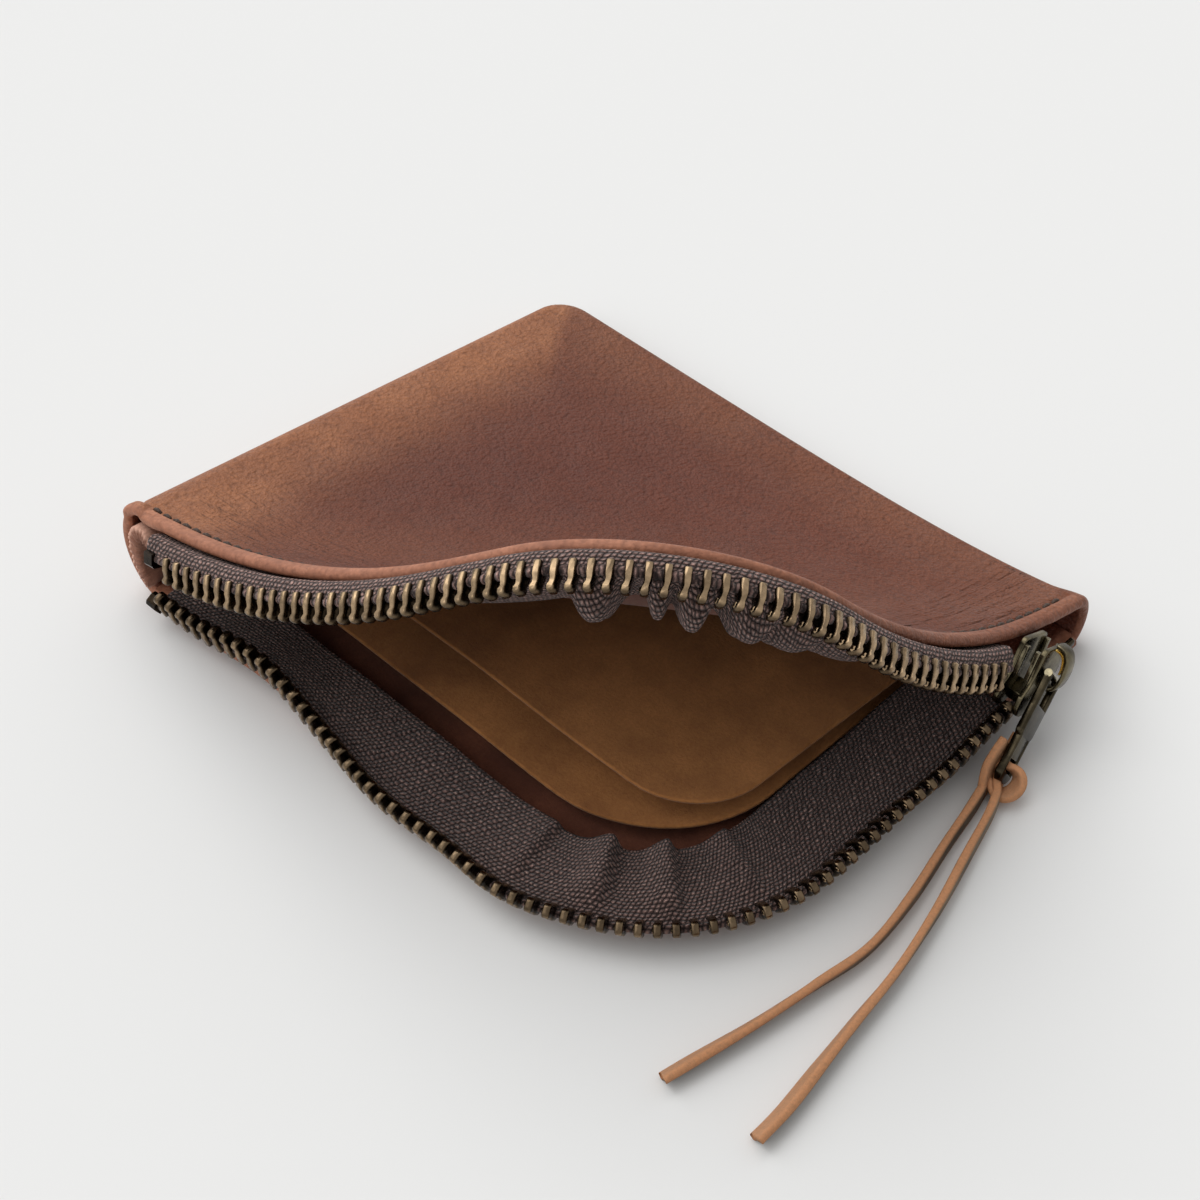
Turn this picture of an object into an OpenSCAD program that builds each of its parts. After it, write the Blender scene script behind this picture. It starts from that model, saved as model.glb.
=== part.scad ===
// Zippered leather pouch, lying on its back panel with the mouth open
// Zip along the front and right sides, folded left side, turned seam at the back

/* [Pouch] */
// Length of the pouch along the front mouth
pouch_w = 112; // [95:1:135]
// Depth of the pouch along the right mouth
pouch_d = 94; // [80:1:115]
// Radius of the mouth's rounded corner
corner_r = 32; // [24:1:36]
// Height of the folded side at the mouth
fold_h = 19; // [15:0.5:22]
// Height of the folded side at the back seam
far_h = 5; // [4.5:0.5:8]
// Height of the back seam at the zip's end
seam_h = 10; // [8:0.5:13]
// Half width of the folded side at the mouth
fold_w = 6.5; // [5:0.5:9]
// Distance by which the folded side bulges over its base at the mouth
fold_out = 3.5; // [1:0.5:5]
// Slope of the front panel towards the flap
rise_deg = 12; // [8:1:16]
// Slope at which the flap's lip stands open
open_deg = 68; // [50:1:75]
// Length over which the flap bends
bend_l = 49; // [40:1:60]
// Distance of the bend's start outside the folded corner
bend_out = 8.8; // [6:0.2:12]
// Distance of the flap's bending line from the bend's start
hinge_in = 9; // [8:0.5:12]

/* [Leather] */
// Thickness of the leather
leather = 1.2; // [1:0.1:1.5]
// Width of the turned hem along the mouth
hem_w = 9; // [7:0.5:11]
// Radius of the rounded turned edge
lip_r = 1.3; // [1.25:0.05:1.6]
// Space left along the flap's bending line
bend_gap = 0.3; // [0.2:0.05:0.6]
// Thickness of the inner dividers
divider_t = 0.7; // [0.5:0.1:0.9]
// Distance of the dividers' free edge from the right mouth
divider_side = 13; // [12.5:0.5:20]
// Distance of the lower divider's free edge from the front mouth
lower_front = 13; // [9:0.5:16]
// Distance of the upper divider's free edge from the front mouth
upper_front = 20; // [16:0.5:30]
// Radius of the dividers' free corner
divider_r = 13; // [8:0.5:18]
// Height of the lower divider at its front edge
lower_lift = 4; // [3.6:0.1:5]
// Height of the upper divider at its front edge
upper_lift = 9.8; // [8:0.1:10.5]

/* [Zip] */
// Distance of the zip chain from the leather edge
chain_out = 2.5; // [2.5:0.1:3]
// Width of tape sewn on behind the leather edge
tape_in = 12; // [11:0.5:13]
// Clearance between the flap's hem and the upper tape
tape_gap = 0.3; // [0.25:0.05:0.4]
// Thickness of the woven tape
tape_t = 0.6; // [0.5:0.05:0.7]
// Radius of the corded tape edge
bead_r = 0.65; // [0.6:0.05:0.7]
// Distance of the upper chain from the leather edge
upper_out = 1; // [0.6:0.1:1.6]
// Depth to which the upper tape hangs under the flap
tape_drop = 1.5; // [1.45:0.05:3]
// Distance of the zip's first end from the folded corner
zip_x0 = 6; // [5:0.5:12]
// Length by which the upper row runs on towards the slider
upper_more = 4.5; // [2:0.5:4.5]
// Distance from one tooth to the next of a row
pitch = 2.5; // [2.4:0.05:2.8]
// Thickness of a tooth along the chain
tooth_t = 1.15; // [1:0.05:1.2]
// Length of a tooth from its clamp to its tip
tooth_l = 4.4; // [4:0.1:4.8]
// Height of a tooth across the chain
tooth_h = 2.4; // [2.2:0.1:2.6]
// Angle by which the lower teeth turn up at the ends of the row
roll_deg = 70; // [40:1:80]
// Clearance between a tooth's clamp and the tape
clamp_gap = 0.1; // [0.05:0.01:0.15]

/* [Slider] */
// Distance of the slider from the back seam
slider_back = 19; // [18:0.5:24]
// Height of the slider's middle
slider_z = 10.4; // [9.5:0.1:12]
// Angle by which the slider's nose hangs down
nose_deg = 64; // [50:1:75]
// Length of the slider
slider_l = 11.4; // [10.5:0.1:12.5]
// Width of the slider at its nose
slider_w = 9; // [8.5:0.1:9.6]
// Width of the slider at its tail
tail_w = 6.8; // [6.4:0.1:7.4]
// Thickness of each slider plate
plate_t = 0.9; // [0.7:0.05:1]
// Clearance between the teeth and the slider plates
plate_gap = 0.15; // [0.1:0.05:0.2]
// Width of the bail
bail_w = 1.8; // [1.5:0.1:2]
// Length of the bail
bail_l = 7.4; // [7:0.1:8]
// Height of the bail above the slider plate
bail_h = 3; // [2.8:0.1:3.4]
// Thickness of the bail
bail_t = 0.65; // [0.5:0.05:0.75]
// Thickness of the lock spring
spring_t = 0.3; // [0.2:0.05:0.35]

/* [Pull] */
// Length of the pull from its pivot
pull_l = 17; // [15:0.2:19]
// Width of the pull at its eye
pull_w = 6; // [5.8:0.1:7]
// Width of the pull's lower half
pull_end_w = 4.8; // [4.4:0.1:5.4]
// Thickness of the pull
pull_t = 1.3; // [1:0.1:1.4]
// Distance from the pivot to the step in the pull
pull_step = 10; // [8:0.5:12]
// Angle by which the pull stands off the slider
pull_lift = 8; // [6:1:20]
// Angle by which the pull hangs to the side
pull_yaw = 30; // [10:1:32]
// Width of the flat lace
lace_w = 3; // [2.6:0.1:3.4]
// Thickness of the flat lace
lace_t = 1.2; // [1:0.1:1.4]
// Clearance between the lace and the pull
lace_gap = 0.2; // [0.15:0.05:0.3]

/* [Display] */
// Node to draw

/* [Hidden] */
$fn = 48;
eps = 0.01;

// Lines of the pouch
fold_c0 = fold_w - fold_out;
fold_w1 = far_h / 2;
fold_c1 = fold_w1 - 0.5;
bend_start = [-bend_out, 0];
bend_end = [pouch_w, pouch_d + 1.6];
bend_z0 = fold_h - 1;
bend_z1 = seam_h + 0.4;
bend_run = norm(bend_end - bend_start);
bend_dir = (bend_end - bend_start) / bend_run;
bend_side = [bend_dir[1], -bend_dir[0]];
bend_drop = (bend_z0 - bend_z1) / bend_run;
turn_deg = open_deg - rise_deg;
bend_r = bend_l * 180 / PI / turn_deg;
lip_t = 2 * leather;
seat = max(lip_t, 2 * lip_r);
fold_steps = 14;
top_steps = 8;
skin_rings = 15;
flap_rings = 36;
flap_steps = 12;

// Lines of the zip
chain_h = tooth_h + 2 * plate_gap;
arc_r = corner_r + chain_out;
arc_len = arc_r * PI / 2;
lower_x0 = 4;
slider_y = pouch_d - slider_back;
row_y1 = slider_y - 8.5;
lower_z = seat + tape_t / 2;
upper_seat = seat + tape_gap;
upper_z = upper_seat + tape_t + tape_drop;
edge_w = 1.7;
tape_rings = 56;
front_len = pouch_w - corner_r - lower_x0;
lower_len = front_len + arc_len + row_y1 - corner_r;
lower_n = floor(lower_len / pitch);
upper_len = lower_len + upper_more;
upper_n = floor(upper_len / pitch);
zip_first = zip_x0 - lower_x0;
tooth_first = ceil((zip_first + 2.8) / pitch);
upper_first = max(zip_first, flap_x0() + 0.3 - lower_x0);
upper_tooth_first = ceil((upper_first + 2.8) / pitch - 0.5);

// Lines of the slider and pull
half_t = chain_h / 2 + plate_t;
window_x1 = 0.2;
pivot_r = 0.6;
pivot_x = window_x1 - 0.95 - pivot_r;
pivot_z = half_t + 1.1;
arm_w = 0.95;
eye_in = 4.6;
slot_l = 2.1;
end_bar = 1.6;
hitch_x = pull_l - end_bar / 2;
hitch_ri = sqrt(pow(end_bar / 2, 2) + pow(pull_t / 2, 2)) + lace_gap;

// Routes of the two tails of the lace on the table, from the slider's place at the mouth edge
tail_a = [[7.2, -15.8], [8.2, -20], [9.7, -27.7], [11.9, -38.2], [13, -48.5], [11.6, -57.9],
          [9.9, -67.9], [7.7, -78], [6.7, -82.6]];
tail_b = [[9.4, -15.4], [10.9, -19.5], [12.8, -26.4], [15.7, -37.2], [18, -48.4], [19.1, -58.3],
          [20.1, -66.7], [21.1, -74.8], [21.3, -80.8]];
tail_z = 0.1;
tail_rings = 32;

// Height, middle and half width of the fold along its length
function fold_top(y) = fold_h + (far_h - fold_h) * y / pouch_d;
function fold_c(y) = fold_c0 + (fold_c1 - fold_c0) * y / pouch_d;
function fold_a(y) = fold_w + (fold_w1 - fold_w) * y / pouch_d;

// Bent front panel: distance along and across the bend of a point of the flat plan
function bend_t(p) = (p - bend_start) * bend_dir;
function bend_d(p) = (p - bend_start) * bend_side;
function bend_turn(d) = turn_deg * min(max(d, 0) / bend_l, 1);
function bend_line(d, h) =
    let (f = bend_turn(d), over = max(d - bend_l, 0),
         u = bend_r * sin(f) + over * cos(turn_deg) + min(d, 0) - h * sin(f),
         v = bend_r * (1 - cos(f)) + over * sin(turn_deg) + h * cos(f))
    [u * cos(rise_deg) - v * sin(rise_deg), u * sin(rise_deg) + v * cos(rise_deg)];
function bent(t, d, h) =
    let (q = bend_line(d, h), p = bend_start + t * bend_dir + q[0] * bend_side)
    [p[0], p[1], bend_z0 - bend_drop * t + q[1]];
function flap_at(p, h) = bent(bend_t(p), bend_d(p), h);

// Bending line of the flap on the front panel
function hinge_t(y) = (y + bend_line(hinge_in, 0)[0] * bend_dir[0]) / bend_dir[1];
function hinge_x(y) = bent(hinge_t(y), hinge_in, 0)[0];
function hinge_z(y) = bent(hinge_t(y), hinge_in, 0)[2];
function hinge_y1() = bend_line(hinge_in, 0)[0] < 0 ? 0
    : let (a = hinge_x(0), b = hinge_x(pouch_d)) pouch_d * (pouch_w - a) / (b - a);
function flap_x0() = (hinge_in + 1) / bend_dir[1] - bend_out;
function flap_y1() = ((pouch_w + bend_out) * bend_dir[1] - hinge_in - 1) / bend_dir[0];

// Edge of the fixed front panel and its height from the fold to that edge
function skin_x1(y) = min(pouch_w, hinge_x(y)) - bend_gap / 2;
function skin_z1(y) = y < hinge_y1() ? hinge_z(y)
    : hinge_z(hinge_y1()) + (seam_h - hinge_z(hinge_y1())) * (y - hinge_y1()) / (pouch_d - hinge_y1());
function skin_z(y, u) = fold_top(y) + (skin_z1(y) - fold_top(y)) * pow(u, 1.5 + 3.6 * y / pouch_d);

// One section of the fold, from the table round to its top
function fold_line(y, inset) = let (r = fold_top(y) / 2)
    [for (i = [0:fold_steps])
        let (f = 270 - 180 * i / fold_steps)
        [fold_c(y) + (fold_a(y) - inset) * cos(f), y, r + (r - inset) * sin(f)]];
// One section of the folded skin, from the table round the fold to the bending line
function skin_line(y, inset, top) = concat(fold_line(y, inset),
    [for (j = [1:top_steps])
        let (u = j / top_steps)
        [fold_c(y) + (skin_x1(y) - fold_c(y)) * u, y, skin_z(y, u) - top]]);

// Point of the leather's mouth edge on the flat plan
function mouth_at(s) =
    let (a = pouch_w - corner_r, b = corner_r * PI / 2,
         f = min(max(s - a, 0) / corner_r * 180 / PI, 90))
    [min(s, a) + corner_r * sin(f), corner_r * (1 - cos(f)) + max(s - a - b, 0)];
// One section of the flap across the bend, ending in its rounded lip over the turned hem
function flap_line(s) =
    let (t = bend_t(mouth_at(s)), e = bend_d(mouth_at(s)), a = hinge_in + bend_gap,
         r = min(lip_r, (e - a) / 2.6), b = a + min(0.6 * leather, (e - a - r) / 2),
         k = e - min(hem_w, (e - a) / 2), w = max(leather, 2 * r))
    concat([for (i = [0:flap_steps]) bent(t, a + (e - r - a) * i / flap_steps, 0)],
        [for (f = [60:-40:-60]) bent(t, e - r + r * cos(f), r * sin(f) - r)],
        [for (i = [flap_steps:-1:0])
            let (d = b + (e - r - b) * i / flap_steps)
            bent(t, d, -leather - (w - leather) * min(max(d - k + 1, 0), 1))]);
function reversed(v) = [for (i = [len(v) - 1:-1:0]) v[i]];
function joined(v) = [for (a = v) for (b = a) b];

// Heading, outward direction and place along the zip's edge at an outset
function zip_turn(s) = s < front_len ? 0
    : s < front_len + arc_len ? (s - front_len) / arc_r * 180 / PI : 90;
function zip_out(s) = [sin(zip_turn(s)), -cos(zip_turn(s))];
function zip_at(s, outset) =
    let (a = s < front_len ? [lower_x0 + s, corner_r]
        : s < front_len + arc_len ? [pouch_w - corner_r, corner_r]
        : [pouch_w - corner_r, corner_r + s - front_len - arc_len])
    a + (corner_r + outset) * zip_out(s);
// Turn of the lower tape's edge, and its corded line above the flat tape
function zip_roll(s) = roll_deg * pow(abs(2 * s / lower_len - 1), 4);
function edge_out(s) = chain_out - edge_w + edge_w * cos(zip_roll(s));
function edge_up(s) = lower_z + edge_w * sin(zip_roll(s));

// One section of the lower tape: flat part, bend and corded edge
function tape_line(s) =
    let (f = zip_roll(s), b = [chain_out - edge_w, lower_z], c = [edge_out(s), edge_up(s)],
         m = tape_t / 2 / cos(f / 2) * [sin(f / 2), -cos(f / 2)], n = zip_out(s),
         flat = concat([[-tape_in, lower_z - tape_t / 2], b + m],
            [for (a = [-150:60:150]) c + bead_r * [cos(a + f), sin(a + f)]],
            [b - m, [-tape_in, lower_z + tape_t / 2]]))
    [for (q = flat) let (p = zip_at(s, q[0])) [p[0], p[1], q[1]]];

// One section of the upper tape: sewn part, bend and corded edge hanging from the flap
function upper_line(s) =
    let (o = upper_out, h = tape_t / 2,
         flat = concat([[-hem_w, -upper_seat], [o + h, -upper_seat]],
            [for (a = [60:-60:-240]) [o + bead_r * cos(a), bead_r * sin(a) - upper_z]],
            [[o - h, -upper_seat - tape_t], [-hem_w, -upper_seat - tape_t]]))
    [for (q = flat) flap_at(zip_at(s, q[0]), q[1])];
// Corded edge of the upper tape and directions along and out of it
function upper_at(s, h) = flap_at(zip_at(s, upper_out), -upper_z - h);
function unit(v) = v / norm(v);

// Smooth place along a route of points
function spline(p0, p1, p2, p3, t) = 0.5 * (2 * p1 + (p2 - p0) * t
    + (2 * p0 - 5 * p1 + 4 * p2 - p3) * t * t + (3 * p1 - p0 - 3 * p2 + p3) * t * t * t);
function route(v, u) =
    let (n = len(v) - 1, k = min(floor(u * n), n - 1), t = u * n - k)
    spline(v[max(k - 1, 0)], v[k], v[k + 1], v[min(k + 2, n)], t);
function side(v, u) =
    let (d = route(v, min(u + eps, 1)) - route(v, max(u - eps, 0)), l = norm(d))
    [-d[1] / l, d[0] / l];

// From the corner of the folded side to the middle of the back panel
module at_base() {
    translate([-pouch_w / 2, -pouch_d / 2, 0]) children();
}

// Slider's own lines: nose along x, plates across z
module on_slider() {
    at_base()
        translate([pouch_w + chain_out, slider_y, slider_z])
        rotate([nose_deg - 90, 0, 0])
        rotate([0, 90, 0])
        children();
}

// Pull's own lines: pivot at the origin, pull along x
module on_pull() {
    on_slider()
        translate([pivot_x, 0, pivot_z])
        rotate([0, 0, -pull_yaw])
        rotate([0, -pull_lift, 0])
        children();
}

// Flat strip along the mouth, from an inset to an outset of the leather edge
module strip(inset, outset, z0, z1, x0, y1) {
    translate([x0, -outset, z0])
        cube([pouch_w - corner_r - x0, inset + outset, z1 - z0]);
    translate([pouch_w - corner_r, corner_r, z0])
        rotate([0, 0, -90])
        rotate_extrude(angle = 90)
        translate([corner_r - inset, 0])
        square([inset + outset, z1 - z0]);
    translate([pouch_w - inset, corner_r, z0])
        cube([inset + outset, y1 - corner_r, z1 - z0]);
}

// Round rod along the mouth at an outset of the leather edge
module rod(r, outset, z, x0, y1) {
    translate([x0, -outset, z])
        rotate([0, 90, 0])
        cylinder(r = r, h = pouch_w - corner_r - x0);
    translate([pouch_w - corner_r, corner_r, z])
        rotate([0, 0, -90])
        rotate_extrude(angle = 90)
        translate([corner_r + outset, 0])
        circle(r = r);
    translate([pouch_w + outset, corner_r, z])
        rotate([-90, 0, 0])
        cylinder(r = r, h = y1 - corner_r);
}

// Quarter disc that fills the mouth's corner
module corner_fill(z0, z1) {
    translate([pouch_w - corner_r, corner_r, z0])
        rotate([0, 0, -90])
        rotate_extrude(angle = 90)
        square([corner_r, z1 - z0]);
}

// Skin of triangles over a run of closed sections
module loft(lines) {
    n = len(lines[0]);
    m = (len(lines) - 1) * n;
    sides = joined([for (k = [0:len(lines) - 2]) joined([for (i = [0:n - 1])
        let (a = k * n + i, b = k * n + (i + 1) % n)
        [[a, b + n, b], [a, a + n, b + n]]])]);
    ends = joined([for (i = [0:n / 2 - 2])
        let (a = i, b = i + 1, c = n - 2 - i, d = n - 1 - i)
        [[a, c, d], [a, b, c], [m + a, m + c, m + b], [m + a, m + d, m + c]]]);
    polyhedron(points = joined(lines), faces = concat(sides, ends), convexity = 8);
}

// Back panel with its turned hem, rounded lip and back seam wall
module back_panel() {
    wall_x0 = fold_c1 + bend_gap;
    color([0.47, 0.31, 0.24]) at_base() {
        linear_extrude(leather)
            polygon([[fold_c0, 0], [pouch_w - corner_r, 0], [pouch_w - corner_r, corner_r],
                     [pouch_w, corner_r], [pouch_w, pouch_d], [fold_c1, pouch_d]]);
        corner_fill(0, leather);
        strip(hem_w, -lip_r, leather, lip_t, fold_c0 + lip_r, pouch_d - leather / 2);
        rod(lip_r, -lip_r, lip_r, fold_c0 + lip_r, slider_y);
        translate([0, pouch_d, 0])
            rotate([90, 0, 0])
            linear_extrude(leather)
            polygon(concat([[wall_x0, 0], [pouch_w, 0]], [for (j = [top_steps:-1:0])
                let (u = j / top_steps)
                [wall_x0 + (pouch_w - wall_x0) * u, skin_z(pouch_d, u) - leather - bend_gap / 2]]));
    }
}

// Folded side with its turned hem and the fixed half of the front panel, one skin bent round
module fold_skin() {
    back_y = hem_w + leather;
    color([0.5, 0.33, 0.25]) at_base()
        loft([for (y = concat([0, hem_w], [for (k = [0:skin_rings])
                back_y + (pouch_d - back_y) * k / skin_rings]))
            let (inset = y > hem_w ? leather : lip_t)
            reversed(concat(skin_line(y, 0, 0), reversed(skin_line(y, inset, leather))))]);
}

// Lifted half of the front panel, bent up to its rounded lip over a turned hem
module front_flap() {
    first = flap_x0();
    last = pouch_w + corner_r * (PI / 2 - 2) + flap_y1();
    color([0.55, 0.37, 0.28]) at_base()
        loft([for (k = [0:flap_rings]) flap_line(first + (last - first) * k / flap_rings)]);
}

// Plan of a divider sewn into the fold and the back seam
module divider_plan(front) {
    right = pouch_w - divider_side;
    back = pouch_d - leather - bend_gap;
    left = fold_c0 + 0.5;
    difference() {
        polygon([[left, front], [right, front], [right, back], [fold_c1 + 0.5, back]]);
        translate([right - divider_r, front])
            difference() {
                translate([0, -1]) square([divider_r + 1, divider_r + 1]);
                translate([0, divider_r]) circle(r = divider_r);
            }
    }
}

// Divider laid from the back seam up to its front edge
module divider(front, back_z, front_z) {
    back = pouch_d - leather - bend_gap;
    at_base()
        translate([0, back, back_z])
        rotate([-atan2(front_z - back_z, back - front), 0, 0])
        translate([0, -back, 0])
        linear_extrude(divider_t)
        divider_plan(front);
}

module divider_lower() {
    color([0.6, 0.4, 0.22]) divider(lower_front, leather + 0.2, lower_lift);
}

module divider_upper() {
    color([0.52, 0.33, 0.18]) divider(upper_front, leather + divider_t + 0.5, upper_lift);
}

// Lower tape lying on the hem, its corded edge turned up towards both ends
module tape_lower() {
    color([0.3, 0.24, 0.24]) at_base()
        loft([for (k = [0:tape_rings]) tape_line(zip_first + (lower_len - zip_first) * k / tape_rings)]);
}

// Upper tape sewn under the flap's hem, bent down outside the leather
module tape_upper() {
    color([0.36, 0.29, 0.29]) at_base()
        loft([for (k = [0:tape_rings])
            upper_line(upper_first + (upper_len - upper_first) * k / tape_rings)]);
}

// Zip tooth: clamp round the corded edge, waist, rounded head, nib and dimple
module tooth() {
    h = tooth_h / 2;
    mouth = bead_r + clamp_gap;
    slot = tape_t / 2 + clamp_gap;
    tip = tooth_l - 1.3;
    difference() {
        union() {
            rotate([90, 0, 0])
                linear_extrude(tooth_t, center = true)
                polygon([[-1.3, slot], [-mouth, slot], [-mouth, mouth], [mouth, mouth],
                         [mouth, -mouth], [-mouth, -mouth], [-mouth, -slot], [-1.3, -slot],
                         [-1.1, -h + 0.15], [-0.2, -h], [tip - 1.4, -h], [tip - 0.4, -h + 0.3],
                         [tip, -h + 0.9], [tip, h - 0.9], [tip - 0.4, h - 0.3], [tip - 1.4, h],
                         [-0.2, h], [-1.1, h - 0.15]]);
            translate([tip - 0.9, tooth_t / 2, 0])
                rotate([-90, 0, 0])
                cylinder(r = 0.42, h = 0.22, $fn = 16);
        }
        translate([tip - 0.9, -tooth_t / 2 - eps, 0])
            rotate([-90, 0, 0])
            cylinder(r = 0.5, h = 0.27, $fn = 16);
    }
}

// Clamp that follows the lower tape's edge
module on_lower(s) {
    p = zip_at(s, edge_out(s));
    translate([p[0], p[1], edge_up(s)])
        rotate([0, 0, zip_turn(s) - 90])
        rotate([0, -zip_roll(s), 0])
        children();
}

// Clamp that follows the upper tape's hanging edge
module on_upper(s) {
    p = upper_at(s, 0);
    y = unit(upper_at(s + eps, 0) - upper_at(s - eps, 0));
    n = upper_at(s, 1) - p;
    x = unit(n - (n * y) * y);
    z = cross(x, y);
    multmatrix([[x[0], y[0], z[0], p[0]], [x[1], y[1], z[1], p[1]], [x[2], y[2], z[2], p[2]],
                [0, 0, 0, 1]])
        children();
}

// Row of teeth on the lower tape, turned up towards both ends
module teeth_lower() {
    color([0.62, 0.55, 0.38]) at_base()
        for (i = [tooth_first:lower_n - 1]) on_lower(pitch * i) tooth();
}

// Row of teeth on the upper tape, hanging half a pitch out of step
module teeth_upper() {
    color([0.68, 0.61, 0.44]) at_base()
        for (i = [upper_tooth_first:upper_n - 1]) on_upper(pitch * (i + 0.5)) tooth();
}

// Stop clamped on the corded edge at the end of a row
module stop_clamp() {
    h = tooth_h / 2;
    mouth = bead_r + clamp_gap;
    slot = tape_t / 2 + clamp_gap;
    rotate([90, 0, 0])
        linear_extrude(2, center = true)
        polygon([[-1.1, slot], [-mouth, slot], [-mouth, mouth], [mouth, mouth], [mouth, -mouth],
                 [-mouth, -mouth], [-mouth, -slot], [-1.1, -slot], [-0.9, -h], [0.9, -h],
                 [1.4, -h + 0.5], [1.4, h - 0.5], [0.9, h], [-0.9, h]]);
}

module stop_lower() {
    color([0.5, 0.44, 0.3]) at_base() on_lower(zip_first + 1.1) stop_clamp();
}

module stop_upper() {
    color([0.5, 0.44, 0.3]) at_base() on_upper(upper_first + 1.1) stop_clamp();
}

// Stop that joins both rows behind the slider, sewn to the panel's edge
module bottom_stop() {
    color([0.5, 0.44, 0.3]) at_base()
        translate([pouch_w, pouch_d - 6, leather + 0.6])
        rotate([90, 0, 90])
        linear_extrude(1.6)
        polygon([[0, 0], [3, 0], [3.4, 0.5], [3.4, 4.5], [3, 5], [0, 5], [-0.4, 4.5], [-0.4, 0.5]]);
}

// Outline of a slider plate, narrow at the tail and lobed at the nose
module plate_plan() {
    n = slider_w / 2;
    t = tail_w / 2;
    l = slider_l / 2;
    polygon([[-l, -t + 0.8], [-l + 0.8, -t], [-0.2, -t], [l - 3.6, -n], [l - 1.4, -n],
             [l - 0.5, -n + 0.6], [l, -n + 1.7], [l, -1.6], [l - 0.6, -0.7], [l - 0.6, 0.7],
             [l, 1.6], [l, n - 1.7], [l - 0.5, n - 0.6], [l - 1.4, n], [l - 3.6, n], [-0.2, t],
             [-l + 0.8, t], [-l, t - 0.8]]);
}

// Slider: two plates, side flanges with a slot for the tape, and the dividing post
module slider_body() {
    t = tail_w / 2;
    l = slider_l / 2;
    lip = chain_h / 2 - tape_t;
    color([0.45, 0.4, 0.28]) on_slider() {
        translate([0, 0, chain_h / 2]) linear_extrude(plate_t) plate_plan();
        translate([0, 0, -half_t]) linear_extrude(plate_t) plate_plan();
        for (m = [-1, 1])
            for (k = [-1, 1])
                translate([-l + 0.8, m * (t - 0.4) - 0.4, k * (chain_h / 2 - lip / 2) - lip / 2])
                    cube([l - 1, 0.8, lip]);
        translate([0, 0, -chain_h / 2])
            linear_extrude(chain_h)
            polygon([[l - 4.4, 0], [l - 2.4, -1.2], [l - 0.8, -0.9], [l - 0.6, -0.7],
                     [l - 0.6, 0.7], [l - 0.8, 0.9], [l - 2.4, 1.2]]);
    }
}

// Arch line of the bail
function arch(l, h) = [for (i = [0:16])
    let (f = 180 * i / 16)
    [-l / 2 * cos(f), h * pow(max(sin(f), 0), 0.55)]];

// Bail over the slider's plate, in which the pull hangs
module slider_bail() {
    mid = window_x1 + bail_t - bail_l / 2;
    color([0.5, 0.45, 0.32]) on_slider()
        translate([mid, bail_w / 2, half_t])
        rotate([90, 0, 0])
        linear_extrude(bail_w)
        difference() {
            polygon(arch(bail_l, bail_h));
            polygon(concat(arch(bail_l - 2 * bail_t, bail_h - bail_t), [[0, -1]]));
        }
}

// Brass leaf spring of the slider's lock, under the tail half of the bail
module lock_spring() {
    mid = window_x1 + bail_t - bail_l / 2;
    l = bail_l - 2 * bail_t - 0.4;
    h = bail_h - bail_t - 0.2;
    color([0.85, 0.66, 0.25]) on_slider()
        translate([mid, bail_w / 2 - 0.2, half_t])
        rotate([90, 0, 0])
        linear_extrude(bail_w - 0.4)
        intersection() {
            difference() {
                polygon(arch(l, h));
                polygon(concat(arch(l - 2 * spring_t, h - spring_t), [[0, -1]]));
            }
            translate([-l / 2 - 1, 0]) square([l / 2 + 1.4, h + 1]);
        }
}

// Metal pull: pivot bar, open eye round the bail, step, tapered end and lace slot
module pull_tab() {
    w = pull_w / 2;
    e = pull_end_w / 2;
    color([0.42, 0.38, 0.28]) on_pull() {
        rotate([90, 0, 0])
            cylinder(r = pivot_r, h = pull_w, center = true);
        translate([0, 0, -pull_t / 2])
            linear_extrude(pull_t)
            difference() {
                polygon([[0, -w], [pull_step - 1, -w], [pull_step, -e], [pull_l - 1, -e],
                         [pull_l, -e + 1], [pull_l, e - 1], [pull_l - 1, e], [pull_step, e],
                         [pull_step - 1, w], [0, w]]);
                translate([-1, -w + arm_w]) square([eye_in + 1, pull_w - 2 * arm_w]);
                translate([hitch_x - end_bar / 2 - slot_l, -lace_w / 2 - lace_gap])
                    square([slot_l, lace_w + 2 * lace_gap]);
            }
    }
}

// Lace doubled through the pull's slot and round its end
module lace_hitch() {
    color([0.56, 0.38, 0.25]) on_pull()
        translate([hitch_x, 0, 0])
        rotate([90, 0, 0])
        rotate_extrude()
        translate([hitch_ri, -lace_w / 2])
        square([lace_t, lace_w]);
}

// Flat lace standing on its edge along a route on the table
module lace_tail(points) {
    at_base()
        translate([pouch_w, slider_y, 0])
        loft([for (i = [0:tail_rings])
            let (u = i / tail_rings, p = route(points, u), q = side(points, u) * lace_t / 2)
            [[p[0] - q[0], p[1] - q[1], tail_z], [p[0] + q[0], p[1] + q[1], tail_z],
             [p[0] + q[0], p[1] + q[1], tail_z + lace_w], [p[0] - q[0], p[1] - q[1], tail_z + lace_w]]]);
}

module lace_tail_a() {
    color([0.6, 0.4, 0.26]) lace_tail(tail_a);
}

module lace_tail_b() {
    color([0.6, 0.4, 0.26]) lace_tail(tail_b);
}

back_panel();
fold_skin();
front_flap();
divider_lower();
divider_upper();
tape_lower();
tape_upper();
teeth_lower();
teeth_upper();
stop_lower();
stop_upper();
bottom_stop();
slider_body();
slider_bail();
lock_spring();
pull_tab();
lace_hitch();
lace_tail_a();
lace_tail_b();
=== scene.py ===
"""Zippered leather pouch lying open on a pale table.

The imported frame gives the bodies, the joints and the sizes. This script builds the leather, the
tapes, the teeth, the slider, the pull and the lace around it, in the same frame and in metres.
"""

import logging
import math
from abc import ABC, abstractmethod
from dataclasses import dataclass, field
from enum import Enum
from typing import Callable, Optional, Sequence

import bmesh
import bpy
import numpy as np
from mathutils import Matrix, Vector


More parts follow.
